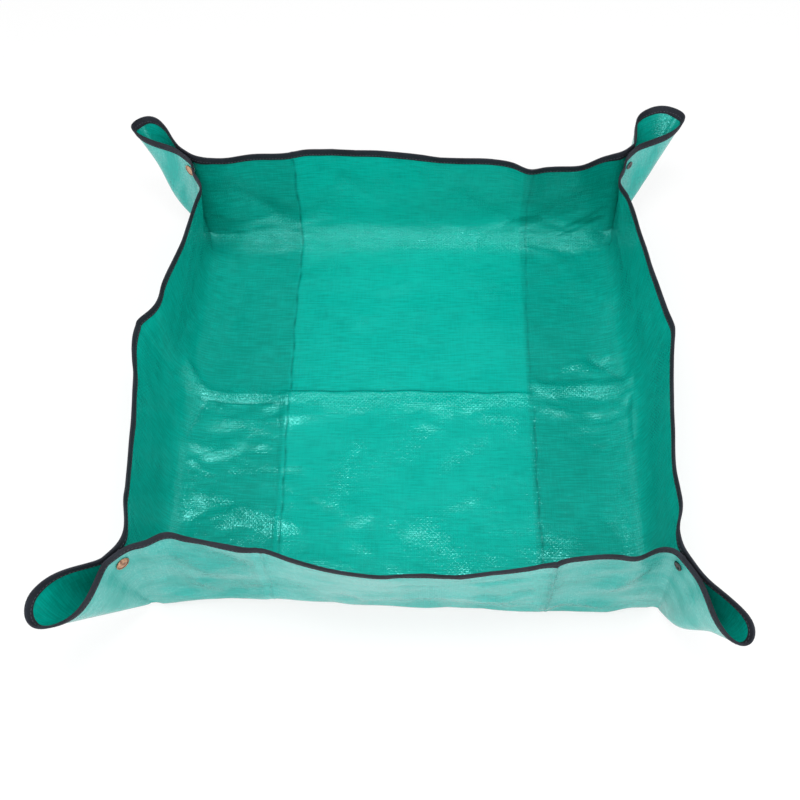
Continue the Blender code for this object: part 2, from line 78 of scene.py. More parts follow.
# Outward lean of each wall in degrees, at shares of its half width from its left end seen from outside
LEANS = {
    "front": (
        (-0.9, -8.0), (-0.8, -4.0), (-0.6, 0.0), (-0.5, 1.5), (-0.4, 5.5), (-0.25, 10.0), (-0.1, 12.5),
        (0.1, 12.5), (0.25, 12.0), (0.4, 10.0), (0.5, 8.0), (0.56, 6.0), (0.7, 4.0), (0.8, 4.0), (0.9, 6.0)),
    "right": (
        (-0.9, 3.0), (-0.8, 2.5), (-0.7, 2.0), (-0.5, 4.0), (-0.25, 7.0), (-0.1, 9.0), (0.0, 10.5),
        (0.1, 8.5), (0.25, 6.0), (0.5, 2.0), (0.75, -1.5), (0.88, -6.0)),
    "back": (
        (-0.88, -7.0), (-0.8, -9.0), (-0.65, -9.5), (-0.56, -11.0), (-0.5, -7.0), (-0.4, -4.0), (-0.2, -2.5),
        (0.0, 1.0), (0.15, 3.5), (0.4, 5.0), (0.5, 4.5), (0.56, 2.5), (0.75, 1.5), (0.9, -2.0)),
    "left": (
        (-0.86, -7.5), (-0.75, -6.0), (-0.6, -4.0), (-0.5, -2.5), (-0.25, 3.0), (-0.1, 6.5), (-0.05, 12.0),
        (0.0, 12.5), (0.25, 8.5), (0.5, 5.5), (0.75, 3.0), (0.9, 1.5)),
}

# How far the foot of the front wall is pushed outward, at shares of its half width
FOOT_SHARES = (-1.0, -0.68, -0.45, -0.2, 0.15, 0.43, 0.80, 1.0)
FOOT_PUSH = (0.0, -0.004, -0.003, 0.001, 0.005, 0.006, 0.007, 0.0)
FOOT_RUN = 0.060
FOOT_ROLL = 0.014
FOOT_ROLL_SHARE = 0.5

# How far each wall's fold is rounded to both sides of its crease, at shares of its half width
SOFT_SHARES = (-1.0, -0.5, 0.0, 0.5, 1.0)
SOFT_REACHES = {
    "front": (0.012, 0.014, 0.013, 0.011, 0.010),
    "right": (0.030, 0.040, 0.044, 0.044, 0.032),
    "back": (0.036, 0.036, 0.032, 0.036, 0.036),
    "left": (0.032, 0.046, 0.046, 0.040, 0.028),
}

# The edge tape and its stitches
TAPE_WIDTH = 0.0068
TAPE_THICKNESS = 0.0006
TAPE_LIFT = 0.0002
TAPE_DIPS = (0.00012, 0.0, 0.00022, 0.00004, 0.0, 0.0)
EDGE_TURNS = (36.0, 72.0, 108.0, 144.0)
TAPE_RIB = 0.0011
STITCH_INSET = 0.0052
STITCH_LENGTH = 0.0024
STITCH_PITCH = 0.0033
STITCH_RADIUS = 0.00028
STITCH_SIDES = 6
STITCH_STEP_SHARES = (0.0, 0.15, 0.5, 0.85, 1.0)
STITCH_SWELL_SHARES = (0.35, 0.9, 1.0, 0.9, 0.35)
STITCH_LIFT_SHARES = (-1.2, 0.1, 0.5, 0.1, -1.2)

# The press studs
SNAP_INSET = 0.0105
SNAP_DROP = 0.0200
SEAT = 0.0004
CAP_RADIUS = 0.0062
CAP_FACE = 0.0052
CAP_DOME = 0.0009
CAP_EDGE = 0.0006
CAP_GROOVE = 0.0003
CAP_SHANK_RADIUS = 0.0013
SOCKET_RADIUS = 0.0050
SOCKET_BASE = 0.0004
SOCKET_WALL_HEIGHT = 0.0012
SOCKET_MOUTH_RADIUS = 0.0021
SOCKET_GROOVE_RADIUS = 0.0028
SPRING_RADIUS = 0.0022
SPRING_WIRE_RADIUS = 0.0002
SPRING_OPENING = 50.0
SPRING_ROOM = 0.0008
STUD_RADIUS = 0.0048
STUD_FLANGE = 0.0005
STUD_NECK_RADIUS = 0.0014
STUD_HEAD_RADIUS = 0.0017
STUD_REACH = 0.0011
STUD_ROUND = 0.0004
POST_RADIUS = 0.0044
POST_DISH_RADIUS = 0.0022
POST_HEIGHT = 0.0010
POST_SHANK_RADIUS = 0.0007
CAP_DOME_TURN = 62.0
CAP_LIP_TURN = -30.0
STUD_HEAD_TURN = 150.0
SNAP_STEPS = 48
SHARP_TURN = 40.0

# How finely the sheet is divided, and how its folds are rounded
GRID = 0.0026
FOLD_GRID = 0.0020
CREASE_STRIP = 0.0060
FOLD_END = 0.0140
FOLD_SLANT = math.radians(45.0)
FOLD_ROOM = 0.0003
END_FOLD_TURN = 0.0040
EAR_STRIP_ANGLE = math.radians(0.8)
KEEL_STRIP_ANGLE = math.radians(2.6)
PACKING_FOLD = 0.121
PACKING_BAND = 0.011
PACKING_GRID = 0.0009
ROUNDING_PASSES = 26
SOFT_GROUND = 0.0003

# Colours and finishes
INSIDE_DEEP = (0.000, 0.268, 0.210, 1.0)
INSIDE_LIGHT = (0.000, 0.440, 0.355, 1.0)
# The pale colour of worn places, which also paints highlights along the creases and the back fold
INSIDE_WORN_AND_SHEEN = (0.040, 0.640, 0.560, 1.0)
OUTSIDE_DEEP = (0.004, 0.290, 0.248, 1.0)
OUTSIDE_LIGHT = (0.012, 0.415, 0.362, 1.0)
# The outside's pale colour, for wear and for a painted sheen that stands for the white floor's reflection
OUTSIDE_WORN_AND_SHEEN = (0.240, 0.580, 0.550, 1.0)
TAPE_DARK = (0.011, 0.013, 0.018, 1.0)
TAPE_LIGHT = (0.028, 0.031, 0.042, 1.0)
THREAD_DARK = (0.030, 0.030, 0.044, 1.0)
THREAD_LIGHT = (0.085, 0.082, 0.105, 1.0)
# Each plated metal: clean, tarnished, and how rough it is where clean
PLATES = {
    "copper": ((0.62, 0.36, 0.22, 1.0), (0.24, 0.12, 0.08, 1.0), 0.28),
    "dark": ((0.11, 0.10, 0.10, 1.0), (0.04, 0.035, 0.035, 1.0), 0.3),
    "steel": ((0.55, 0.55, 0.56, 1.0), (0.26, 0.25, 0.25, 1.0), 0.25),
}
WHITE = (1.0, 1.0, 1.0, 1.0)
FLOOR_WHITE = (0.92, 0.92, 0.92, 1.0)
WEAVE_PITCH = 0.0020
# Noise over the cut: its scales along and across, its detail, and an offset that sets it apart
NOISES = {
    "weft": (50.0, 620.0, 2.0, 0.0),
    "warp": (620.0, 50.0, 2.0, 7.0),
    "cloud": (11.0, 11.0, 5.0, 3.0),
    "speck": (420.0, 420.0, 3.0, 5.0),
    "patch": (32.0, 32.0, 4.0, 9.0),
    "streak": (16.0, 44.0, 5.0, 4.0),
    "ripple": (70.0, 70.0, 6.0, 1.0),
    "crinkle": (210.0, 300.0, 3.0, 6.0),
    "tape_fine": (900.0, 3000.0, 2.0, 0.0),
    "tape_cloud": (60.0, 60.0, 4.0, 2.0),
}
# Fine relief: its depth and its strength
BUMPS = {
    "ripple": (0.0007, 0.5),
    "weft": (0.00028, 0.5),
    "crinkle": (0.0010, 0.7),
    "weave": (0.00038, 0.8),
    "rib": (0.00016, 0.9),
    "tape_fine": (0.0001, 0.6),
    "twist": (0.00008, 0.8),
    "scratch": (0.00004, 0.4),
}
SHEET_SPECULAR = 1.0
SHEET_IOR = 1.55
SPECULAR_TINT = (0.30, 1.0, 0.97, 1.0)
# How pale the worn places are painted, which also paints the highlights of the creases and the back fold
WORN_AND_SHEEN_SHARE = 0.18
PANEL_SHARE = 0.48
# How dark the painted shade in the sharp crease lines is, as a share of the deep colour
LINE_DARKNESS = 0.3
UV_NAME = "flat"
# Marks at the sheet's points: wear that also paints highlights, painted shade in sharp lines, the lighter
# middle panel
WEAR_AND_SHEEN_NAME = "wear"
SHARP_NAME = "painted_line_shade"
PANEL_NAME = "lighter_middle_panel"
SNAP_FINISHES = {"cap": "copper", "socket": "steel", "stud": "steel", "post": "dark"}

# The camera and the studio
CAMERA_PLACE = Vector((0.03255, -0.62071, 0.90173))
CAMERA_PITCH = 55.438
CAMERA_YAW = -3.659
CAMERA_ROLL = 3.081
CAMERA_LENS = 48.8
CAMERA_SENSOR = 36.0
WORLD_LIGHT = 0.58
ZENITH_GLOW = 0.10
HORIZON_SINE = 0.15
ZENITH_SINE = 0.40
FLOOR_REACH = 6.0
FLOOR_DROP = 0.0002
FLOOR_GLOW_SHARE = 0.75
LAMPS = (
    ("overhead", (0.0, -0.20, 1.50), (0.0, 0.0, 0.0), (0.75, 0.35), 8.8),
    ("left_fill", (-1.60, 0.0, 1.00), (0.20, 0.0, 0.05), (1.0, 0.8), 6.8),
    ("right_fill", (1.60, 0.0, 1.00), (-0.20, 0.0, 0.05), (1.0, 0.8), 6.8),
    ("near_front", (0.0, -0.75, 1.15), (0.0, -0.15, 0.0), (0.8, 0.4), 5.0),
    ("front_fill", (0.0, -2.40, 1.30), (0.0, 0.0, 0.05), (2.2, 1.2), 9.0),
)

# Below these a length is none, an edge is met, and two places of the cut are one
TINY = 1e-12
NEAR = 1e-9
SAME_PLACE = 1e-6

FLOOR_HALF = MAT_SIDE / 2 - WALL_RISE
CREASE_OFFSET = PINCH_REACH - WALL_RISE
SHEET_HALF = SHEET_THICKNESS / 2
TAPE_TOP = SHEET_HALF + TAPE_LIFT + TAPE_THICKNESS
QUARTER_TURN = math.pi / 2
HUB_RISE = SHEET_HALF + (2 * FOLD_REACH / QUARTER_TURN) * (1 - math.pi / 4)
FOLD_LINE = FLOOR_HALF - FOLD_REACH
FOLD_END_LINE = FLOOR_HALF - FOLD_END
STRIP_LINE = FLOOR_HALF - CREASE_STRIP
TAPE_INSETS = (TAPE_WIDTH, 0.0061, STITCH_INSET, 0.0040, 0.0021, 0.0)
SIDES = ("front", "right", "back", "left")
CORNERS = ("front_left", "front_right", "back_right", "back_left")


# The rest shape, as in the construction

def turned(points, quarter_turns):
    """Points turned about the Z axis by whole quarter turns, counterclockwise seen from above."""
    angle = quarter_turns * QUARTER_TURN
    c, s = round(math.cos(angle)), round(math.sin(angle))
    x, y = points[..., 0], points[..., 1]
    rest = [points[..., i] for i in range(2, points.shape[-1])]
    return np.stack([c * x - s * y, s * x + c * y, *rest], axis=-1)


def smooth(x):
    x = np.clip(x, 0.0, 1.0)
    return x * x * (3 - 2 * x)


def unit(v):
    return v / np.maximum(np.linalg.norm(v, axis=-1, keepdims=True), TINY)


def run_along(points):
    """The distance along a line of points to each of them."""
    return np.concatenate([[0.0], np.cumsum(np.linalg.norm(np.diff(points, axis=0), axis=-1))])


def interpolate(at, marks, vectors):
    """Vectors between the marks at which they are given."""
    return np.stack([np.interp(at, marks, vectors[:, axis]) for axis in range(3)], axis=-1)


def flat_turn(a, b):
    """The cross product of flat vectors, above 0 where the second is turned counterclockwise."""
    return a[:, 0] * b[:, 1] - a[:, 1] * b[:, 0]


def quad_sides(quads):
    """The sides of quads, without those that have shrunk to a point."""
    sides = np.concatenate([quads[:, [i, (i + 1) % 4]] for i in range(4)])
    return sides[sides[:, 0] != sides[:, 1]]


def square_to(quads, places):
    """A vector square to each quad, as long as twice its area."""
    a, b, c, d = (places[quads[:, i]] for i in range(4))
    return np.cross(c - a, d - b)


def crease_tilt():
    return PINCH_GAP / math.sqrt(2) - CREASE_OFFSET


def corner_angle():
    return math.acos(crease_tilt() / WALL_RISE)


def lean_along(side, share):
    """A wall's outward lean in radians along its length, on a smooth curve through its table."""
    corner = 90.0 - math.degrees(corner_angle())
    shares, leans = np.transpose(((-1.0, corner), *LEANS[side], (1.0, corner)))
    leans = np.radians(leans)
    slopes = np.gradient(leans, shares)
    left = np.clip(np.searchsorted(shares, share, side="right") - 1, 0, len(shares) - 2)
    span = shares[left + 1] - shares[left]
    x = np.clip((share - shares[left]) / span, 0.0, 1.0)
    tangent = span * (slopes[left] * x * (1 - x) ** 2 - slopes[left + 1] * x ** 2 * (1 - x))
    return leans[left] + (leans[left + 1] - leans[left]) * smooth(x) + tangent


def wall_section(beyond, share, side):
    """Outward and up for a point a flat distance beyond the crease, at a share of the half width."""
    angle = QUARTER_TURN - lean_along(side, share)
    radius = 2 * FOLD_REACH / angle
    past = beyond - FOLD_REACH
    stand_out = radius * np.sin(angle) - FOLD_REACH + past * np.cos(angle)
    stand_up = radius * (1 - np.cos(angle)) + past * np.sin(angle)
    reach = np.interp(share, SOFT_SHARES, SOFT_REACHES[side])
    step = np.clip((beyond + reach) / (2 * reach), 0.0, 1.0)
    meet = stand_out - stand_up / np.tan(angle)
    end_out = stand_out + (reach - beyond) * np.cos(angle)
    end_up = stand_up + (reach - beyond) * np.sin(angle)
    curve_out = -reach * (1 - step) ** 2 + 2 * meet * step * (1 - step) + end_out * step ** 2
    runs = [beyond < -reach, beyond > reach]
    soft_out = FLOOR_HALF + np.select(runs, [beyond, stand_out], curve_out)
    soft_up = np.select(runs, [np.zeros_like(beyond), stand_up], end_up * step ** 2)
    if side == "front":
        push = np.interp(share, FOOT_SHARES, FOOT_PUSH)
        push = push * np.where(push > 0, 1 - FOOT_ROLL_SHARE * smooth(beyond / FOOT_ROLL), 1.0)
        push = push * smooth((WALL_RISE - beyond) / (WALL_RISE - reach))
        soft_out = soft_out + push * smooth(1 + (beyond + reach) / FOOT_RUN)
    above = np.maximum(beyond, 0.0)
    sharp_out = FLOOR_HALF + np.minimum(beyond, 0.0) + above * math.cos(corner_angle())
    rise = HUB_RISE - SHEET_HALF
    sharp_up = rise * np.clip(1 + beyond / FOLD_REACH, 0.0, 1.0) + above * math.sin(corner_angle())
    sharpness = smooth((np.abs(share) - CORNER_BLEND_SHARE) / (1 - CORNER_BLEND_SHARE))
    return soft_out + (sharp_out - soft_out) * sharpness, soft_up + (sharp_up - soft_up) * sharpness


def wall_place(flat, side):
    """A wall as it stands: flat holds the place along the wall and the distance beyond its crease."""
    along, beyond = flat[..., 0], flat[..., 1]
    half = FLOOR_HALF - CREASE_OFFSET * np.maximum(beyond, 0.0) / WALL_RISE
    out, up = wall_section(beyond, np.clip(along / half, -1.0, 1.0), side)
    return turned(np.stack([along, -out, SHEET_HALF + up], axis=-1), SIDES.index(side))


def floor_place(flat):
    """The floor, whose margins begin to curl up into the walls."""
    x, y = flat[..., 0], flat[..., 1]
    right, up_right = wall_section(x - FLOOR_HALF, y / FLOOR_HALF, "right")
    left, up_left = wall_section(-x - FLOOR_HALF, -y / FLOOR_HALF, "left")
    back, up_back = wall_section(y - FLOOR_HALF, -x / FLOOR_HALF, "back")
    front, up_front = wall_section(-y - FLOOR_HALF, x / FLOOR_HALF, "front")
    up = np.maximum(np.maximum(up_right, up_left), np.maximum(up_back, up_front))
    across, deep = np.where(x < 0, -left, right), np.where(y < 0, -front, back)
    return np.stack([across, deep, SHEET_HALF + up], axis=-1)


def hub(corner):
    return turned(np.array([-FLOOR_HALF, -FLOOR_HALF, HUB_RISE]), CORNERS.index(corner))


def ear_sector():
    """The flat angle at the hub between the ear's keel and either of its creases."""
    return math.pi / 4 + math.atan2(CREASE_OFFSET, WALL_RISE)


def crease_direction(corner, kind):
    up = WALL_RISE * math.sin(corner_angle())
    if kind == "cap":
        rest = np.array([CREASE_OFFSET, -crease_tilt(), up])
    else:
        rest = np.array([-crease_tilt(), CREASE_OFFSET, up])
    return turned(unit(rest), CORNERS.index(corner))


def snap_reach():
    return WALL_RISE / math.cos(math.pi / 4 - ear_sector()) - SNAP_DROP


def flat_angle():
    """The angle off the crease within which an ear half is flat, to seat the stud."""
    return math.atan2(SNAP_INSET + CAP_RADIUS + EAR_FLAT_MARGIN, snap_reach() - CAP_RADIUS)


def ear_bulge(share, span, corner):
    x = np.clip(share / (1 - flat_angle() / span), 0.0, 1.0)
    taper = EAR_TAPER_POWERS[corner]
    peak = EAR_ROUND_POWER / (EAR_ROUND_POWER + taper)
    swell = (x / peak) ** EAR_ROUND_POWER * ((1 - x) / (1 - peak)) ** taper
    return EAR_BULGES[corner] / WALL_RISE * swell


def ear_curve(corner, keel, crease, outward, fullness=1.0):
    """Unit rays from the hub across an ear half, keel to crease, and the flat angle at each."""
    span = math.acos(keel @ crease)
    share = np.linspace(0.0, 1.0, RAY_SAMPLES) ** 2
    along_keel = np.sin((1 - share) * span) / math.sin(span)
    along_crease = np.sin(share * span) / math.sin(span)
    rays = along_keel[:, None] * keel + along_crease[:, None] * crease
    rays = unit(rays + fullness * ear_bulge(share, span, corner)[:, None] * outward)
    return rays, run_along(rays)


def keel_direction(corner):
    """From the hub along the ear's lower fold, at the height that keeps the cut sheet's own angles."""
    azimuth = math.radians(FIRST_EAR_AZIMUTH + EAR_SWING[corner])
    outward = turned(np.array([math.cos(azimuth), math.sin(azimuth), 0.0]), CORNERS.index(corner))
    crease = crease_direction(corner, "cap")
    lift = ear_sector()
    for _ in range(LIFT_ROUNDS):
        keel = outward * math.cos(lift) + np.array([0.0, 0.0, math.sin(lift)])
        lift += ear_curve(corner, keel, crease, unit(np.cross(keel, crease)))[1][-1] - ear_sector()
    return keel


def ear_lines(corner, kind):
    """An ear half's keel and crease, and the outward normal of the plane through them."""
    keel, crease = keel_direction(corner), crease_direction(corner, kind)
    outward = unit(np.cross(keel, crease))
    other = crease_direction(corner, "stud" if kind == "cap" else "cap")
    return keel, crease, outward * -np.sign(outward @ other)


def ear_place(flat, corner, kind):
    """An ear half: flat holds the distance along the keel from the hub and the distance off the keel."""
    reach = np.hypot(flat[..., 0], flat[..., 1])
    angle = np.arctan2(flat[..., 1], flat[..., 0])
    rays, angles = ear_curve(corner, *ear_lines(corner, kind), EAR_FULLNESS[corner][kind == "stud"])
    angles = angles * (ear_sector() / angles[-1])
    return hub(corner) + reach[..., None] * unit(interpolate(angle, angles, rays))


def ear_rim(angle, inset):
    """From the hub to the mat's rounded corner, drawn in by inset, at angles off the keel."""
    rise, radius = WALL_RISE - inset, CORNER_RADIUS - inset
    centre = (rise - radius) * math.sqrt(2)
    straight = rise / np.cos(math.pi / 4 - angle)
    turn = math.pi / 4 - math.atan2(rise - radius, rise)
    inside = np.maximum(radius ** 2 - (centre * np.sin(angle)) ** 2, 0.0)
    return np.where(angle >= turn, straight, centre * np.cos(angle) + np.sqrt(inside))


# The sheet as one mesh, in the cut's own coordinates

def spread(marks, *steps):
    """Values through the marks, evenly spaced between them by about the step given for each run."""
    runs = []
    for low, high, step in zip(marks[:-1], marks[1:], (*steps, *[steps[-1]] * len(marks))):
        count = max(1, round((high - low) / step))
        runs.append(np.linspace(low, high, count + 1)[:-1])
    return np.concatenate([*runs, [marks[-1]]])


def along_shares(side):
    """Columns of a wall and of the floor below it, denser where the packing folds cross them."""
    ends = [FOLD_END_LINE, FOLD_LINE, STRIP_LINE, FLOOR_HALF]
    if side in ("front", "back"):
        half = spread([0.0, PACKING_FOLD - PACKING_BAND, PACKING_FOLD + PACKING_BAND, *ends],
                      GRID, PACKING_GRID, GRID)
    else:
        half = spread([0.0, PACKING_BAND, *ends], PACKING_GRID, GRID)
    return np.concatenate([-half[:0:-1], half]) / FLOOR_HALF


def wall_rows():
    """Heights of the sheet's rows beyond the crease, and how far each is drawn in from the edge."""
    low = spread([0.0, FOLD_REACH], FOLD_GRID)
    high = spread([FOLD_REACH, WALL_RISE - TAPE_WIDTH], GRID)
    return np.concatenate([low[:-1], high, [WALL_RISE - inset for inset in TAPE_INSETS[1:]]])


def ear_columns():
    """Angles off the keel across an ear half, denser towards the keel and the crease."""
    sector = ear_sector()
    low = np.linspace(0.0, KEEL_STRIP_ANGLE, 4)[:-1]
    high = spread([KEEL_STRIP_ANGLE, sector - EAR_STRIP_ANGLE], GRID / WALL_RISE)
    return np.concatenate([low, high, [sector]])


class Sheet:
    """The whole mat: flat places, standing places and quads, with a panel name for each quad."""

    def __init__(self):
        self.flats, self.places, self.faces, self.panels = [], [], [], []
        self.count = 0

    def add(self, panel, flat, place):
        """A grid of points, rows by columns."""
        rows, columns = flat.shape[:2]
        index = self.count + np.arange(rows * columns).reshape(rows, columns)
        quads = np.stack([index[:-1, :-1], index[:-1, 1:], index[1:, 1:], index[1:, :-1]], axis=-1)
        self.flats.append(flat.reshape(-1, 2))
        self.places.append(place.reshape(-1, 3))
        self.faces.append(quads.reshape(-1, 4))
        self.panels += [panel] * quads[..., 0].size
        self.count += rows * columns

    def weld(self):
        """Joins points that are one point of the cut, and turns every quad counterclockwise in it."""
        flats, places, faces = map(np.concatenate, (self.flats, self.places, self.faces))
        keys, first, index = np.unique(self.keys(flats), axis=0, return_index=True, return_inverse=True)
        index = index.ravel()
        self.flat = flats[first]
        total = np.zeros((len(keys), 3))
        np.add.at(total, index, places)
        self.place = total / np.bincount(index)[:, None]
        quads = index[faces]
        a, b, c, d = (self.flat[quads[:, i]] for i in range(4))
        area = flat_turn(c - a, d - b)
        self.quads = np.where(area[:, None] < 0, quads[:, ::-1], quads)
        self.panels = np.array(self.panels)
        sides = np.sort(quad_sides(self.quads), axis=1)
        self.edges, used = np.unique(sides, axis=0, return_counts=True)
        self.rim_edges = self.edges[used == 1]
        self.on_rim = np.zeros(len(self.flat), bool)
        self.on_rim[self.rim_edges.ravel()] = True
        self.index_of = {tuple(key): i for i, key in enumerate(keys)}

    @staticmethod
    def keys(flats):
        return np.round(flats / SAME_PLACE).astype(np.int64)

    def find(self, flats):
        """The sheet's points at these flat places."""
        keys = self.keys(flats.reshape(-1, 2))
        return np.array([self.index_of[tuple(key)] for key in keys]).reshape(flats.shape[:-1])

    def normals(self):
        """Unit normals at the points, toward the inside of the tray."""
        across = square_to(self.quads, self.place)
        total = np.zeros_like(self.place)
        for i in range(4):
            np.add.at(total, self.quads[:, i], across)
        return unit(total)

    def relax(self, weight, passes):
        """Draws each point toward the mean of its neighbours, an edge point along the edge only."""
        inner = self.edges[~(self.on_rim[self.edges[:, 0]] & self.on_rim[self.edges[:, 1]])]
        edges = np.concatenate([inner, self.rim_edges])
        from_, to = np.concatenate([edges, edges[:, ::-1]]).T
        keep = ~self.on_rim[from_] | self.on_rim[to]
        from_, to = from_[keep], to[keep]
        degree = np.maximum(np.bincount(from_, minlength=len(self.flat)), 1)[:, None]
        for _ in range(passes):
            mean = np.zeros_like(self.place)
            np.add.at(mean, from_, self.place[to])
            self.place += weight[:, None] * (mean / degree - self.place)


def side_flat(along, beyond, side):
    """Places of the cut for places along and beyond a side's crease."""
    local = np.stack([along, -(FLOOR_HALF + beyond)], axis=-1)
    return turned(local, SIDES.index(side))


def wall_grid(side, shares, rows):
    beyond, share = np.meshgrid(rows, shares, indexing="ij")
    along = share * (FLOOR_HALF - CREASE_OFFSET * beyond / WALL_RISE)
    return side_flat(along, beyond, side), wall_place(np.stack([along, beyond], axis=-1), side)


def ear_grid(corner, kind, angles, rows):
    reaches = []
    for beyond in rows:
        inset = min(WALL_RISE - beyond, TAPE_WIDTH)
        shrink = min(beyond / (WALL_RISE - TAPE_WIDTH), 1.0)
        reaches.append(shrink * ear_rim(angles, inset))
    reach = np.array(reaches)
    local = np.stack([reach * np.cos(angles), reach * np.sin(angles)], axis=-1)
    azimuth = math.radians(FIRST_EAR_AZIMUTH) + (angles if kind == "cap" else -angles)
    around = np.stack([reach * np.cos(azimuth), reach * np.sin(azimuth)], axis=-1) - FLOOR_HALF
    return turned(around, CORNERS.index(corner)), ear_place(local, corner, kind)


def build_sheet():
    sheet = Sheet()
    rows, angles = wall_rows(), ear_columns()
    y, x = np.meshgrid(along_shares("left") * FLOOR_HALF, along_shares("front") * FLOOR_HALF, indexing="ij")
    floor = np.stack([x, y], axis=-1)
    sheet.add("floor", floor, floor_place(floor))
    for side in SIDES:
        sheet.add(side, *wall_grid(side, along_shares(side), rows))
    for corner in CORNERS:
        for kind in ("cap", "stud"):
            sheet.add(f"{corner}_{kind}", *ear_grid(corner, kind, angles, rows))
    sheet.weld()
    return sheet


# Creases and ripples that the sheet keeps from its packing

# A crease from one place of the cut to another: the rise of its ridge, which also sets how worn and painted
# pale it is, how far that reaches to its left and to its right, and the depth of the sharp line along it,
# which also sets its painted shade
CREASES = (
    (-0.1215, 0.3400, -0.1195, 0.0060, 0.0010, 0.012, 0.006, 0.0012),
    (-0.1195, 0.0040, -0.1125, -0.3400, 0.0010, 0.010, 0.006, 0.0010),
    (-0.1280, -0.0100, -0.1230, -0.0900, -0.0006, 0.004, 0.006, 0.0003),
    (-0.1230, -0.0950, -0.1235, -0.2000, -0.0004, 0.004, 0.006, 0.0003),
    (0.1300, 0.3400, 0.1245, 0.0060, 0.0007, 0.008, 0.012, 0.0006),
    (0.1265, -0.0160, 0.1260, -0.3400, 0.0010, 0.008, 0.010, 0.0010),
    (-0.1210, 0.0060, 0.1240, 0.0030, 0.0036, 0.003, 0.015, 0.0),
    (-0.1200, 0.0100, 0.1000, 0.0070, 0.0, 0.010, 0.010, 0.0012),
    (-0.2060, 0.0055, -0.1210, 0.0020, 0.0036, 0.006, 0.007, 0.0),
    (-0.1980, -0.0050, -0.1210, -0.0065, -0.0010, 0.004, 0.007, 0.0008),
    (-0.2450, 0.0300, -0.2060, 0.0065, 0.0036, 0.006, 0.010, 0.0),
    (0.1240, 0.0150, 0.2340, 0.0110, 0.0040, 0.005, 0.012, 0.0),
    (0.1260, 0.0235, 0.2000, 0.0200, 0.0, 0.010, 0.010, 0.0008),
    (0.1830, 0.0490, 0.2260, 0.0140, -0.0030, 0.010, 0.006, 0.0008),
    (0.1260, -0.0120, 0.1600, -0.0160, 0.0018, 0.004, 0.008, 0.0),
    (0.2370, -0.0100, 0.2330, -0.0560, 0.0020, 0.006, 0.006, 0.0),
    (0.1310, 0.2620, 0.0900, 0.2280, 0.0022, 0.009, 0.007, 0.0),
    (0.1310, 0.2620, 0.1750, 0.2300, 0.0022, 0.007, 0.009, 0.0),
    (0.1255, -0.2400, 0.1255, -0.3400, -0.0030, 0.006, 0.006, 0.0),
    (0.1180, -0.2380, 0.1380, -0.2500, -0.0026, 0.006, 0.006, 0.0),
    (0.1380, -0.2500, 0.1800, -0.2380, -0.0024, 0.005, 0.007, 0.0),
    (-0.2050, -0.3200, -0.1500, -0.2780, -0.0026, 0.008, 0.010, 0.0),
    (-0.2000, -0.3000, -0.1600, -0.2500, -0.0022, 0.008, 0.008, 0.0),
    (-0.1700, -0.3300, -0.1250, -0.3000, 0.0024, 0.010, 0.008, 0.0),
    (0.1700, -0.2700, 0.2100, -0.3150, -0.0022, 0.008, 0.008, 0.0),
    (-0.0400, -0.2500, 0.0500, -0.2700, -0.0022, 0.008, 0.010, 0.0),
    (0.0500, -0.2700, 0.1000, -0.2450, -0.0020, 0.008, 0.008, 0.0),
    (-0.2180, -0.0580, -0.1700, -0.0660, 0.0026, 0.010, 0.006, 0.0),
    (-0.2050, -0.1120, -0.1600, -0.1220, 0.0022, 0.009, 0.006, 0.0),
    (-0.1620, -0.1260, -0.1160, -0.1400, 0.0028, 0.010, 0.007, 0.0),
    (-0.1900, -0.0270, -0.1450, -0.0400, 0.0024, 0.009, 0.005, 0.0),
    (-0.2220, -0.0520, -0.2060, -0.0060, -0.0030, 0.008, 0.006, 0.0006),
    (-0.2120, -0.0950, -0.1880, -0.1800, 0.0012, 0.010, 0.006, 0.0),
    (0.0, -0.0060, 0.0500, -0.0100, 0.0016, 0.012, 0.014, 0.0),
    (0.0700, -0.0240, 0.1150, -0.0270, 0.0018, 0.010, 0.014, 0.0),
    (0.0, -0.1500, 0.0400, -0.1550, 0.0014, 0.015, 0.015, 0.0),
    (0.1250, -0.1550, 0.1600, -0.1600, 0.0016, 0.012, 0.012, 0.0),
    (0.1200, 0.2300, 0.2120, 0.2520, 0.0014, 0.012, 0.012, 0.0),
    (-0.2150, 0.2560, -0.1300, 0.2330, 0.0014, 0.012, 0.012, 0.0),
    (-0.1220, 0.2340, -0.1950, 0.3000, -0.0024, 0.014, 0.010, 0.0),
    (-0.1180, 0.2340, -0.0600, 0.3050, -0.0018, 0.010, 0.014, 0.0),
    (0.1250, 0.2370, 0.1900, 0.2950, -0.0024, 0.010, 0.014, 0.0),
    (0.1220, 0.2370, 0.0500, 0.2900, -0.0018, 0.014, 0.010, 0.0),
)
CREASE_FADE = 0.020
CREASE_SPAN = 2.2
CREASE_POWER = 1.5
LINE_HALF = 0.0013
# The rise at which a crease is fully worn and painted pale, and the line depth at which its painted shade is
# full
FULL_RISE = 0.0040
FULL_LINE = 0.0012
SMALL_CREASE_COUNT = 170
SMALL_LENGTHS = (0.020, 0.100)
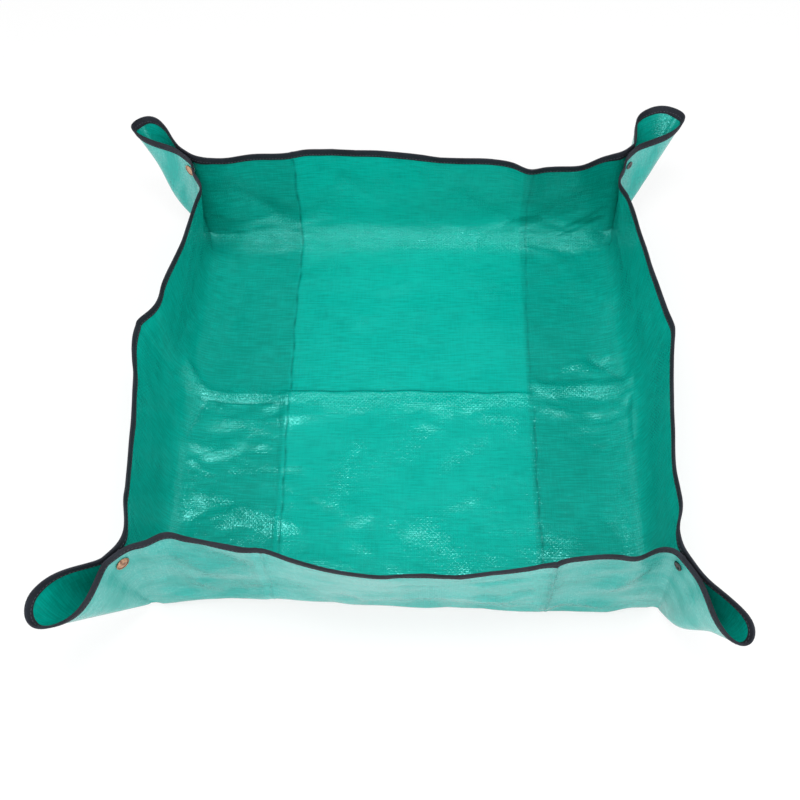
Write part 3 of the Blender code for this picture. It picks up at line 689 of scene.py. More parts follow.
# Where the sheet is crumpled: how many short creases, within which corners, and how high
CRUMPLES = (
    (48, (-0.220, -0.190), (-0.128, -0.010), 0.0022),
    (22, (0.130, -0.060), (0.225, 0.045), 0.0020),
    (16, (-0.110, -0.035), (0.115, -0.006), 0.0010),
    (22, (-0.215, 0.190), (0.215, 0.230), 0.0014),
    (26, (-0.210, -0.335), (0.210, -0.235), 0.0018),
    (14, (-0.100, -0.200), (0.110, -0.110), 0.0008),
    (24, (0.118, 0.214), (0.198, 0.250), 0.0015),
    (18, (-0.215, 0.222), (-0.130, 0.250), 0.0014),
)
CRUMPLE_LENGTHS = (0.016, 0.055)
CRUMPLE_REACHES = (0.0030, 0.0080)
CRUMPLE_TURN = math.radians(35.0)
SMALL_RISES = (0.0003, 0.0014)
SMALL_REACHES = (0.005, 0.020)
LAY_LIFT = 0.0014
LAY_REACH = 0.030
PILLOW_RISE = 0.0016
PILLOW_REACH = 0.028
RIPPLE_COUNT = 30
RIPPLE_LENGTHS = (0.030, 0.110)
RIPPLE_SHARE = 0.0036
CRINKLE_COUNT = 26
CRINKLE_LENGTHS = (0.009, 0.020)
CRINKLE_SHARE = 0.010
CALM_REACH = 0.020
BROAD_REACH = 0.050
EAR_CALM = 0.6
# How worn each side's fold is, which also paints a highlight band along it, strongest at the back, and where
# and how wide
FOLD_WEARS_AND_SHEEN = {"front": 0.3, "right": 0.2, "back": 0.9, "left": 0.2}
FOLD_WEAR_AND_SHEEN_PLACE = -0.008
FOLD_WEAR_AND_SHEEN_REACH = 0.018
# The middle panel, coloured lighter than the panels beside it, and the width of its edge
MIDDLE_PANEL_HALF = 0.1215
MIDDLE_PANEL_EDGE = 0.004
WOBBLE = 0.0012
WOBBLE_LENGTHS = (0.050, 0.170)
WOBBLE_PHASES = (40.0, 90.0)
# How the painted shade in a crease's sharp line fades in and out along it
LINE_FADES = (0.021, 0.073)
LINE_PHASES = (60.0, 30.0)
LINE_FADE_SHARE = 0.35
CREASE_SEED = 21
RIPPLE_SEED = 11
CRINKLE_SEED = 5
ROUNDING_REACH = 0.0040
ROUNDING_SPREAD = 0.0060
ROUNDING_SHARE = 0.5


def short_crease(draw, low, high, turns, lengths, rises, reaches):
    """A ridge or valley that starts at random between two corners of an area of the cut."""
    x, y = draw.uniform(low, high)
    turn, length = draw.uniform(*turns), draw.uniform(*lengths)
    rise = draw.choice((-1, 1)) * draw.uniform(*rises)
    left, right = draw.uniform(*reaches, 2)
    return x, y, x + length * math.cos(turn), y + length * math.sin(turn), rise, left, right, 0.0


def short_creases():
    """Short creases strewn over the whole sheet, and more where it is crumpled."""
    draw = np.random.RandomState(CREASE_SEED)
    half, tilts = MAT_SIDE / 2, (-CRUMPLE_TURN, CRUMPLE_TURN)
    areas = [(SMALL_CREASE_COUNT, (-half, -half), (half, half), (0.0, math.pi), SMALL_LENGTHS, SMALL_RISES,
              SMALL_REACHES)]
    for count, low, high, top in CRUMPLES:
        areas.append((count, low, high, tilts, CRUMPLE_LENGTHS, (top / 3, top), CRUMPLE_REACHES))
    return [short_crease(draw, *area) for count, *area in areas for _ in range(count)]


def swings(along, lengths, phases):
    """Sine waves of these lengths and phases along a crease."""
    return [np.sin(2 * math.pi * along / length + phase) for length, phase in zip(lengths, phases)]


def crease_shape(flat, crease):
    """At flat places: 1 on a crease's line, falling away to both sides, and the same for its sharp line."""
    x0, y0, x1, y1, _, left, right, _ = crease
    length = math.hypot(x1 - x0, y1 - y0)
    line = np.array([x1 - x0, y1 - y0]) / length
    offset = flat - np.array([x0, y0])
    along, aside = offset @ line, offset @ np.array([-line[1], line[0]])
    aside = aside + WOBBLE / 2 * sum(swings(along, WOBBLE_LENGTHS, np.array(WOBBLE_PHASES) * (x0, y0)))
    half = CREASE_FADE / 2
    ends = smooth((along + half) / CREASE_FADE) * smooth((length + half - along) / CREASE_FADE)
    reach = CREASE_SPAN * np.where(aside > 0, left, right)
    fall = np.clip(1 - np.abs(aside) / reach, 0.0, 1.0) ** CREASE_POWER
    near, far = swings(along, LINE_FADES, np.array(LINE_PHASES) * (y0, x0))
    fade = 1 - LINE_FADE_SHARE + LINE_FADE_SHARE * near * far
    return ends * fall, ends * fade * np.exp(-(aside / LINE_HALF) ** 2)


def waves(flat, seed, count, lengths, share):
    """A sum of sine waves in seeded directions, each as high as its length times the share."""
    draw = np.random.RandomState(seed)
    total = np.zeros(len(flat))
    for _ in range(count):
        length = lengths[0] * (lengths[1] / lengths[0]) ** draw.rand()
        angle, phase = draw.rand(2) * 2 * math.pi
        way = np.array([math.cos(angle), math.sin(angle)]) * 2 * math.pi / length
        total += length * share * np.sin(flat @ way + phase)
    return total / math.sqrt(count)


def off_fold_lines(flat):
    """The distance of flat places from the nearest hub, corner crease or keel."""
    nearest = np.full(len(flat), MAT_SIDE)
    folded = np.abs(flat)
    inward = math.atan2(CREASE_OFFSET, WALL_RISE)
    for azimuth in (math.pi / 4, QUARTER_TURN + inward, -inward):
        ray = np.array([math.cos(azimuth), math.sin(azimuth)])
        offset = folded - FLOOR_HALF
        along = np.maximum(offset @ ray, 0.0)
        nearest = np.minimum(nearest, np.linalg.norm(offset - along[:, None] * ray, axis=-1))
    return nearest


def panel_tone(flat):
    """1 on the middle panel, which is coloured lighter, and 0 past the packing folds."""
    return smooth(0.5 + (MIDDLE_PANEL_HALF - np.abs(flat[:, 0])) / MIDDLE_PANEL_EDGE)


def surface_height(flat):
    """How far the sheet stands off its smooth shape, inward, how worn it is with painted highlights, and its
    painted-shade lines.
    """
    height, wear, sharp = np.zeros((3, len(flat)))
    for crease in (*CREASES, *short_creases()):
        ridge, line = crease_shape(flat, crease)
        rise, depth = crease[4], crease[7]
        height += rise * ridge - depth * line
        wear = np.maximum(wear, abs(rise) / FULL_RISE * ridge)
        sharp = np.maximum(sharp, depth / FULL_LINE * line)
    # Each side's fold is worn and painted pale along the floor, which paints the highlight band at the back
    for number, side in enumerate(SIDES):
        off = -turned(flat, -number)[:, 1] - FLOOR_HALF - FOLD_WEAR_AND_SHEEN_PLACE
        wear = np.maximum(wear, FOLD_WEARS_AND_SHEEN[side] * np.exp(-(off / FOLD_WEAR_AND_SHEEN_REACH) ** 2))
    pillow = 1.0
    for axis, middle in ((0, -PACKING_FOLD), (0, PACKING_FOLD), (1, 0.0)):
        pillow = pillow * (1 - np.exp(-np.abs(flat[:, axis] - middle) / PILLOW_REACH))
    off_wall_folds = np.abs(np.abs(flat) - FLOOR_HALF).min(axis=1)
    off_corner = off_fold_lines(flat)
    in_ear = np.abs(flat).min(axis=1) > FLOOR_HALF
    lay = np.where(in_ear, 0.0, smooth(off_corner / BROAD_REACH))
    height += lay * (PILLOW_RISE * pillow + LAY_LIFT * smooth(off_wall_folds / LAY_REACH))
    height += waves(flat, RIPPLE_SEED, RIPPLE_COUNT, RIPPLE_LENGTHS, RIPPLE_SHARE)
    height += waves(flat, CRINKLE_SEED, CRINKLE_COUNT, CRINKLE_LENGTHS, CRINKLE_SHARE) * wear
    height *= np.where(in_ear, EAR_CALM, 1.0) * smooth(off_corner / CALM_REACH)
    return height, np.clip(wear, 0.0, 1.0), np.clip(sharp, 0.0, 1.0)


def rounding_weight(flat):
    """How strongly each point is relaxed: on the corner folds, and over a wider reach above the studs."""
    off = off_fold_lines(flat)
    beyond = np.abs(flat).max(axis=1) - FLOOR_HALF
    reach = ROUNDING_REACH + ROUNDING_SPREAD * smooth((beyond - (WALL_RISE - SNAP_DROP)) / SNAP_DROP)
    return ROUNDING_SHARE * np.exp(-(off / reach) ** 2) * smooth((beyond + FOLD_REACH) / FOLD_REACH)


def shape_sheet(sheet):
    """Rounds the folds, lays the creases in and keeps the floor on the ground."""
    sheet.relax(rounding_weight(sheet.flat), ROUNDING_PASSES)
    for corner, along, reach, shift in KEEL_SAGS:
        off = np.linalg.norm(sheet.place - (hub(corner) + along * keel_direction(corner)), axis=1)
        sheet.place += smooth(1 - off / reach)[:, None] * np.array(shift)
    height, sheet.wear, sheet.sharp = surface_height(sheet.flat)
    sheet.place = sheet.place + height[:, None] * sheet.normals()
    low = sheet.place[:, 2] - SHEET_HALF
    eased = np.logaddexp(0.0, low / SOFT_GROUND) * SOFT_GROUND
    sheet.place[:, 2] += np.where(low < SOFT_GROUND, eased - low, 0.0)
    sheet.normal = sheet.normals()


# Pieces cut from the sheet

def piece_faces(sheet):
    """The quads of each piece of the sheet, by name."""
    flat = sheet.flat[sheet.quads].mean(axis=1)
    names = sheet.panels.astype(object)
    end, strip = FOLD_END_LINE / FLOOR_HALF, STRIP_LINE / FLOOR_HALF
    for number, side in enumerate(SIDES):
        local = turned(flat, -number)
        along, beyond = local[:, 0], -local[:, 1] - FLOOR_HALF
        share = along / (FLOOR_HALF - CREASE_OFFSET * np.maximum(beyond, 0.0) / WALL_RISE)
        margin = (beyond > -FOLD_REACH) & (np.abs(along) < FLOOR_HALF + beyond + NEAR)
        wall = names == side
        fold = (wall | (names == "floor") & margin) & (beyond < FOLD_REACH)
        names[wall] = f"{side}_wall"
        names[fold] = f"{side}_fold"
        names[fold & (share < -end)] = f"{side}_fold_left"
        names[fold & (share > end)] = f"{side}_fold_right"
        names[wall & (share < -strip)] = f"{CORNERS[number]}_crease"
    spoke = np.abs(flat) - FLOOR_HALF
    off_keel = np.abs(np.arctan2(spoke[:, 1], spoke[:, 0]) - math.pi / 4)
    for corner in CORNERS:
        cap, stud = names == f"{corner}_cap", names == f"{corner}_stud"
        names[cap], names[stud] = f"{corner}_cap_ear", f"{corner}_stud_ear"
        names[cap & (off_keel > ear_sector() - EAR_STRIP_ANGLE)] = f"{corner}_crease"
        names[(cap | stud) & (off_keel < KEEL_STRIP_ANGLE)] = f"{corner}_keel"
    return {name: np.flatnonzero(names == name) for name in sorted(set(names))}


def add_object(name, data):
    made = bpy.data.objects.new(name, data)
    bpy.context.scene.collection.objects.link(made)
    return made


def mesh_object(name, points, faces, normals, uv, marks, slots, materials):
    """A mesh with its own normals at the face corners; uv and the marks are given at the points."""
    mesh = bpy.data.meshes.new(name)
    mesh.from_pydata(points.tolist(), [], faces)
    for made in materials:
        mesh.materials.append(made)
    corners = np.zeros(len(mesh.loops), np.int32)
    mesh.loops.foreach_get("vertex_index", corners)
    mesh.polygons.foreach_set("use_smooth", np.ones(len(mesh.polygons), bool))
    mesh.polygons.foreach_set("material_index", np.asarray(slots, np.int32))
    layer = mesh.uv_layers.new(name=UV_NAME)
    layer.uv.foreach_set("vector", uv[corners].astype(np.float32).ravel())
    for mark, values in marks.items():
        layer = mesh.attributes.new(mark, "FLOAT", "POINT")
        layer.data.foreach_set("value", values.astype(np.float32))
    mesh.update()
    if normals is not None:
        mesh.normals_split_custom_set(normals.tolist())
    return add_object(name, mesh)


def shell_object(sheet, name, chosen, materials):
    """A closed thin shell of some of the sheet's quads, inside and outside faces and a rim."""
    quads = sheet.quads[chosen]
    used, index = np.unique(quads, return_inverse=True)
    quads = index.reshape(quads.shape)
    count = len(used)
    place, normal = sheet.place[used], sheet.normal[used]
    points = np.concatenate([place + SHEET_HALF * normal, place - SHEET_HALF * normal])
    sides = quad_sides(quads)
    _, first, uses = np.unique(np.sort(sides, axis=1), axis=0, return_index=True, return_counts=True)
    border = sides[first[uses == 1]]
    inner = [tuple(dict.fromkeys(face)) for face in quads.tolist()]
    outer = [tuple(i + count for i in reversed(face)) for face in inner]
    rim = [(b, a, a + count, b + count) for a, b in border.tolist()]
    faces = inner + outer + rim
    signs = np.concatenate([np.full(sum(map(len, inner)), 1.0), np.full(sum(map(len, outer)), -1.0)])
    at = np.array([i % count for face in inner + outer for i in face])
    normals = signs[:, None] * normal[at]
    edge = place[border[:, 1]] - place[border[:, 0]]
    rim_normal = unit(np.cross(edge, normal[border[:, 0]]))
    normals = np.concatenate([normals, np.repeat(rim_normal, 4, axis=0)])
    slots = [0] * len(inner) + [1] * len(outer) + [0] * len(rim)
    uv = np.tile(sheet.flat[used], (2, 1))
    marks = {WEAR_AND_SHEEN_NAME: sheet.wear, SHARP_NAME: sheet.sharp, PANEL_NAME: panel_tone(sheet.flat)}
    marks = {mark: np.tile(values[used], 2) for mark, values in marks.items()}
    return mesh_object(name, points, faces, normals, uv, marks, slots, materials)


def flat_size(sheet, chosen):
    """The width and length of the cut that these quads need, and their flat area."""
    flat = sheet.flat[sheet.quads[chosen]]
    a, b, c, d = (flat[:, i] for i in range(4))
    area = np.abs(flat_turn(c - a, d - b)).sum() / 2
    best = None
    for degrees in (0.0, 45.0):
        angle = math.radians(degrees)
        axes = np.array([[math.cos(angle), -math.sin(angle)], [math.sin(angle), math.cos(angle)]])
        size = np.ptp(flat.reshape(-1, 2) @ axes, axis=0)
        if best is None or size.prod() < best.prod():
            best = size
    return best, area


# The edge tape and its stitches

def rim_grid():
    """Flat places of the sheet under the tape, row by row round the whole rim."""
    angles = ear_columns()
    rows = [WALL_RISE - inset for inset in TAPE_INSETS]
    flats = []
    for number, side in enumerate(SIDES):
        corner = CORNERS[(number + 1) % len(CORNERS)]
        flats.append(wall_grid(side, along_shares(side)[:-1], rows)[0])
        flats.append(ear_grid(corner, "stud", angles[:0:-1], rows)[0])
        flats.append(ear_grid(corner, "cap", angles[:-1], rows)[0])
    return np.concatenate(flats, axis=1)


def rim_owners(sheet, pieces, rim):
    """The sheet's piece at each step round the rim, from one of its points to the next."""
    owner = {}
    for name, chosen in pieces.items():
        for face in sheet.quads[chosen].tolist():
            for step in zip(face, face[1:] + face[:1]):
                owner[step] = name
    return [owner[step] for step in zip(rim, rim[1:] + rim[:1])]


def tape_ring(place, normal):
    """The tape's section at each column: over the inside, round the edge, down the outside and back."""
    out = unit(place[-1] - place[-2])
    turns = np.radians(EDGE_TURNS)
    skins = []
    for lift in (TAPE_TOP, TAPE_TOP - TAPE_THICKNESS):
        inner = [p + n * (lift - dip) for p, n, dip in zip(place, normal, TAPE_DIPS)]
        outer = [p - n * (lift - dip) for p, n, dip in zip(place, normal, TAPE_DIPS)]
        edge = [place[-1] + lift * (normal[-1] * math.cos(t) + out * math.sin(t)) for t in turns]
        skins.append(inner + edge + outer[::-1])
    return np.stack(skins[0] + skins[1][::-1])


def ring_normals(ring):
    """Smooth normals of a closed band whose points are given section by column."""
    around = np.roll(ring, -1, axis=0) - np.roll(ring, 1, axis=0)
    along = np.roll(ring, -1, axis=1) - np.roll(ring, 1, axis=1)
    return unit(np.cross(around, along))


def columns_of(owners, name):
    """A piece's columns in order round the rim, with the one after its last."""
    first = next(i for i, owner in enumerate(owners) if owner == name and owners[i - 1] != name)
    return [(first + i) % len(owners) for i in range(owners.count(name) + 1)]


def tube_faces(rings, around):
    """Quads between rings of points that are numbered ring after ring."""
    index = np.arange(rings * around).reshape(rings, around)[:-1]
    beside = np.roll(index, -1, axis=1)
    return np.stack([index, beside, beside + around, index + around], axis=-1).reshape(-1, 4)


def tape_object(name, ring, normal, chosen, start, materials):
    """One stretch of tape, closed at both ends."""
    around, length = ring.shape[0], len(chosen)
    points, normals = (grid[:, chosen].transpose(1, 0, 2).reshape(-1, 3) for grid in (ring, normal))
    sides = tube_faces(length, around)
    low = np.arange(around // 2 - 1)
    cap = np.stack([low, low + 1, around - 2 - low, around - 1 - low], axis=-1)
    ends = np.stack([cap[:, ::-1], cap + (length - 1) * around], axis=1).reshape(-1, 4)
    normals = np.concatenate([normals[sides.ravel()], np.repeat(unit(square_to(ends, points)), 4, axis=0)])
    along, girth = start + run_along(ring[0, chosen]), run_along(ring[:, 0])
    uv = np.stack(np.meshgrid(along, girth, indexing="ij"), axis=-1).reshape(-1, 2)
    faces = np.concatenate([sides, ends]).tolist()
    return mesh_object(name, points, faces, normals, uv, {}, [0] * len(faces), materials)


def stitches(line, normal, owners):
    """Short threads sunk into the tape at both ends: their points, and the piece that each is on."""
    line, normal = (np.concatenate([values, values[:1]]) for values in (line, normal))
    run = run_along(line)
    count = int(run[-1] / STITCH_PITCH)
    starts = np.arange(count) * run[-1] / count
    at = (starts[:, None] + np.array(STITCH_STEP_SHARES) * STITCH_LENGTH) % run[-1]
    spine, up = interpolate(at, run, line), unit(interpolate(at, run, normal))
    across = unit(np.cross(unit(spine[:, -1:] - spine[:, :1]), up))
    turns = np.arange(STITCH_SIDES) * 2 * math.pi / STITCH_SIDES
    spokes = across[:, :, None] * np.cos(turns)[:, None] + up[:, :, None] * np.sin(turns)[:, None]
    centre = spine + up * (np.array(STITCH_LIFT_SHARES) * STITCH_RADIUS)[:, None]
    points = centre[:, :, None] + spokes * (np.array(STITCH_SWELL_SHARES) * STITCH_RADIUS)[:, None, None]
    middle = np.searchsorted(run, starts + STITCH_LENGTH / 2) - 1
    return points.reshape(count, -1, 3), np.array([owners[i % len(owners)] for i in middle])


def stitch_object(name, threads, materials):
    """The threads on one stretch of tape, each a closed tapered tube."""
    total = len(STITCH_STEP_SHARES) * STITCH_SIDES
    one = [tuple(range(STITCH_SIDES)), tuple(range(total - 1, total - STITCH_SIDES - 1, -1))]
    one += tube_faces(len(STITCH_STEP_SHARES), STITCH_SIDES)[:, [0, 3, 2, 1]].tolist()
    faces = [[thread * total + i for i in face] for thread in range(len(threads)) for face in one]
    points = threads.reshape(-1, 3)
    return mesh_object(name, points, faces, None, np.zeros((len(points), 2)), {}, [0] * len(faces), materials)


def build_tape(sheet, pieces, tape, thread):
    """Every stretch of tape and its threads, by the name of the sheet's piece below it."""
    index = sheet.find(rim_grid())
    owners = rim_owners(sheet, pieces, index[-1].tolist())
    place, normal = sheet.place[index], sheet.normal[index]
    ring = tape_ring(place, normal)
    normals = ring_normals(ring)
    run = run_along(place[-1])
    row = TAPE_INSETS.index(STITCH_INSET)
    lift = (TAPE_TOP - TAPE_DIPS[row]) * normal[row]
    sewn = [stitches(place[row] + side * lift, side * normal[row], owners) for side in (1, -1)]
    made = {}
    for name in sorted(set(owners)):
        chosen = columns_of(owners, name)
        made[name] = [tape_object(f"{name}_tape", ring, normals, chosen, run[chosen[0]], [tape])]
        threads = np.concatenate([points[belongs == name] for points, belongs in sewn])
        if len(threads):
            made[name].append(stitch_object(f"{name}_stitches", threads, [thread]))
    return made


# The press studs, turned about the axis that pinches each ear

def snap_frame(corner):
    """A frame midway between the ear's halves, Z toward the one with the cap, and its distance to them."""
    sector = ear_sector()
    crease = np.array([math.cos(sector), math.sin(sector)])
    inward = np.array([math.sin(sector), -math.cos(sector)])
    flat = snap_reach() * crease + SNAP_INSET * inward
    cap, stud = ear_place(flat, corner, "cap"), ear_place(flat, corner, "stud")
    axis = unit(ear_lines(corner, "cap")[2] - ear_lines(corner, "stud")[2])
    turn = Vector(axis).to_track_quat("Z", "Y").to_matrix().to_4x4()
    return Matrix.Translation(Vector((cap + stud) / 2)) @ turn, (cap - stud) @ axis / 2


def turned_piece(name, profile, centre, finish):
    """A profile of radius and height points, run outside downward, turned about the frame's Z axis."""
    turns = [2 * math.pi * i / SNAP_STEPS for i in range(SNAP_STEPS)]
    points, faces, rows = [], [], []
    for radius, height in profile:
        ring = [(radius * math.cos(turn), radius * math.sin(turn), height) for turn in turns]
        if radius == 0:
            ring = [(0.0, 0.0, height)]
        rows.append([len(points) + i % len(ring) for i in range(SNAP_STEPS)])
        points += ring
    pairs = list(zip(rows[:-1], rows[1:]))
    if profile[0][0] > 0:
        pairs.append((rows[-1], rows[0]))
    for upper, lower in pairs:
        for i in range(SNAP_STEPS):
            j = (i + 1) % SNAP_STEPS
            face = tuple(dict.fromkeys((upper[i], lower[i], lower[j], upper[j])))
            if len(face) > 2:
                faces.append(face)
    mesh = bpy.data.meshes.new(name)
    mesh.from_pydata(points, [], faces)
    mesh.transform(centre)
    mesh.polygons.foreach_set("use_smooth", np.ones(len(faces), bool))
    mesh.set_sharp_from_angle(angle=math.radians(SHARP_TURN))
    mesh.materials.append(finish)
    return add_object(name, mesh)


def arc(radius, height, size, start, end, count, rise=None):
    """Profile points on a round about a radius and height, from one turn off the axis to another."""
    turns = np.radians(np.linspace(start, end, count))
    return [(radius + size * math.sin(t), height + (rise or size) * math.cos(t)) for t in turns]


def build_snap(corner, finishes):
    """A corner's press stud: cap, socket and spring on one half of the ear, stud and post on the other."""
    centre, half_gap = snap_frame(corner)
    outside = half_gap + SHEET_HALF + SEAT / 2
    inside = half_gap - SHEET_HALF - SEAT
    rim, base = outside + CAP_EDGE, inside - SOCKET_BASE
    cap = arc(0.0, rim, CAP_FACE, 0.0, CAP_DOME_TURN, 8, rise=CAP_DOME)
    cap += [(CAP_FACE, rim), (CAP_FACE + CAP_GROOVE, rim - CAP_GROOVE / 2)]
    cap += arc(CAP_RADIUS - CAP_EDGE, rim, CAP_EDGE, CAP_LIP_TURN, 180.0, 9)
    cap += [(CAP_SHANK_RADIUS, outside), (CAP_SHANK_RADIUS, base), (0.0, base)]
    hole, bend = CAP_SHANK_RADIUS + SEAT / 2, SOCKET_BASE / 2
    foot = base - SOCKET_WALL_HEIGHT + bend
    socket = [(hole, inside)]
    socket += arc(SOCKET_RADIUS - 2 * bend, inside - 2 * bend, 2 * bend, 0.0, 90.0, 5)
    socket += arc(SOCKET_RADIUS - bend, foot, bend, 90.0, 180.0, 4)
    socket += arc(SOCKET_MOUTH_RADIUS + bend, foot, bend, 180.0, 270.0, 4)
    socket += [(SOCKET_MOUTH_RADIUS, base - SPRING_ROOM), (SOCKET_GROOVE_RADIUS, base - SPRING_ROOM)]
    socket += [(SOCKET_GROOVE_RADIUS, base), (hole, base)]
    face = -inside + STUD_FLANGE
    top, flange = face + STUD_REACH - STUD_ROUND, STUD_FLANGE / 2
    stud = arc(0.0, top, STUD_HEAD_RADIUS, 0.0, 90.0, 6, rise=STUD_ROUND)
    stud += arc(STUD_HEAD_RADIUS - STUD_ROUND, top, STUD_ROUND, 90.0, STUD_HEAD_TURN, 4)[1:]
    stud += [(STUD_NECK_RADIUS, face + STUD_ROUND / 2), (STUD_NECK_RADIUS + STUD_ROUND / 2, face)]
    stud += arc(STUD_RADIUS - flange, face - flange, flange, 0.0, 180.0, 7)
    hole = POST_SHANK_RADIUS + SEAT / 2
    stud += [(hole, -inside), (hole, face), (0.0, face)]
    back, roll = -outside, POST_HEIGHT / 2
    post = [(0.0, face - SEAT), (POST_SHANK_RADIUS, face - SEAT), (POST_SHANK_RADIUS, back)]
    post += arc(POST_RADIUS - roll, back - roll, roll, 0.0, 180.0, 9)
    post += [(POST_DISH_RADIUS + roll, back - 2 * roll), (POST_DISH_RADIUS, back - roll)]
    post.append((0.0, back - roll / 2))
    made = {}
    for part, profile in (("cap", cap), ("socket", socket), ("stud", stud), ("post", post)):
        made[part] = turned_piece(f"{corner}_{part}_press", profile, centre, finishes[SNAP_FINISHES[part]])
    height = base - SPRING_ROOM / 2
    made["spring"] = spring_object(f"{corner}_spring_press", centre, height, finishes["steel"])
    return made


def spring_object(name, centre, height, finish):
    """The open wire ring in the socket's groove."""
    curve = bpy.data.curves.new(name, "CURVE")
    curve.dimensions = "3D"
    curve.bevel_depth = SPRING_WIRE_RADIUS
    curve.bevel_resolution = 3
    curve.use_fill_caps = True
    spline = curve.splines.new("POLY")
    turns = np.radians(np.linspace(SPRING_OPENING / 2, 360 - SPRING_OPENING / 2, SNAP_STEPS))
    spline.points.add(len(turns) - 1)
    for point, turn in zip(spline.points, turns):
        point.co = (SPRING_RADIUS * math.cos(turn), SPRING_RADIUS * math.sin(turn), height, 1.0)
    curve.materials.append(finish)
    made = add_object(name, curve)
    made.matrix_world = centre
    return made


# Materials

class Nodes:
    """Short ways to add nodes to a tree."""

    def __init__(self, tree):
        self.tree = tree

    def node(self, kind, inputs=(), **settings):
        made = self.tree.nodes.new(kind)
        for name, value in settings.items():
            setattr(made, name, value)
        for socket, value in dict(inputs).items():
            self.feed(made.inputs[socket], value)
        return made

    def feed(self, socket, value):
        if isinstance(value, bpy.types.NodeSocket):
            self.tree.links.new(value, socket)
        else:
            socket.default_value = value

    def maths(self, operation, a, b=0.0, clamp=False):
        return self.node("ShaderNodeMath", {0: a, 1: b}, operation=operation, use_clamp=clamp).outputs[0]

    def times(self, a, b, clamp=False):
        return self.maths("MULTIPLY", a, b, clamp)

    def plus(self, a, b, clamp=False):
        return self.maths("ADD", a, b, clamp)

    def ramp(self, value, low, high, from_=0.0, to=1.0):
        return self.node("ShaderNodeMapRange", {0: value, 1: low, 2: high, 3: from_, 4: to}).outputs[0]


class Finish(Nodes):
    """A material whose shader is fed by a few nodes."""

    def __init__(self, name):
        self.made = bpy.data.materials.new(name)
        self.made.use_nodes = True
        super().__init__(self.made.node_tree)
        self.shader = self.tree.nodes["Principled BSDF"]

    def mark(self, name):
        """A value that the mesh holds at its points."""
        return self.node("ShaderNodeAttribute", attribute_name=name).outputs["Fac"]

    def flat_place(self):
        """The place on the cut, in metres, as separate numbers."""
        uv = self.node("ShaderNodeUVMap", uv_map=UV_NAME).outputs[0]
        parts = self.node("ShaderNodeSeparateXYZ", {0: uv})
        return parts.outputs[0], parts.outputs[1]

    def grain(self, place, scale, detail):
        inputs = {"Vector": place, "Scale": scale, "Detail": detail}
        return self.node("ShaderNodeTexNoise", inputs).outputs["Fac"]

    def noise(self, name):
        """Noise over the cut, with its own scale each way."""
        scale_u, scale_v, detail, offset = NOISES[name]
        u, v = self.flat_place()
        scaled = {0: self.times(u, scale_u), 1: self.times(v, scale_v), 2: offset}
        return self.grain(self.node("ShaderNodeCombineXYZ", scaled).outputs[0], 1.0, detail)

    def mix(self, share, a, b):
        return self.node("ShaderNodeMix", {0: share, 6: a, 7: b}, data_type="RGBA").outputs[2]

    def bump(self, height, name, below=None):
        distance, strength = BUMPS[name]
        inputs = {"Height": height, "Distance": distance, "Strength": strength}
        if below is not None:
            inputs["Normal"] = below
        return self.node("ShaderNodeBump", inputs).outputs[0]

    def set(self, **values):
        for name, value in values.items():
            self.feed(self.shader.inputs[name.replace("_", " ")], value)
        return self.made


def weave_height(finish, pitch):
    """Plain weave of flat strips: each strip rises over one neighbour and dips under the next."""
    strips = [finish.maths("SINE", finish.times(value, math.pi / pitch)) for value in finish.flat_place()]
    warp, weft = (finish.maths("ABSOLUTE", strip) for strip in strips)
    lean = finish.maths("GREATER_THAN", finish.times(*strips), 0.0)
    return finish.plus(finish.times(warp, lean), finish.times(weft, finish.maths("SUBTRACT", 1.0, lean)))


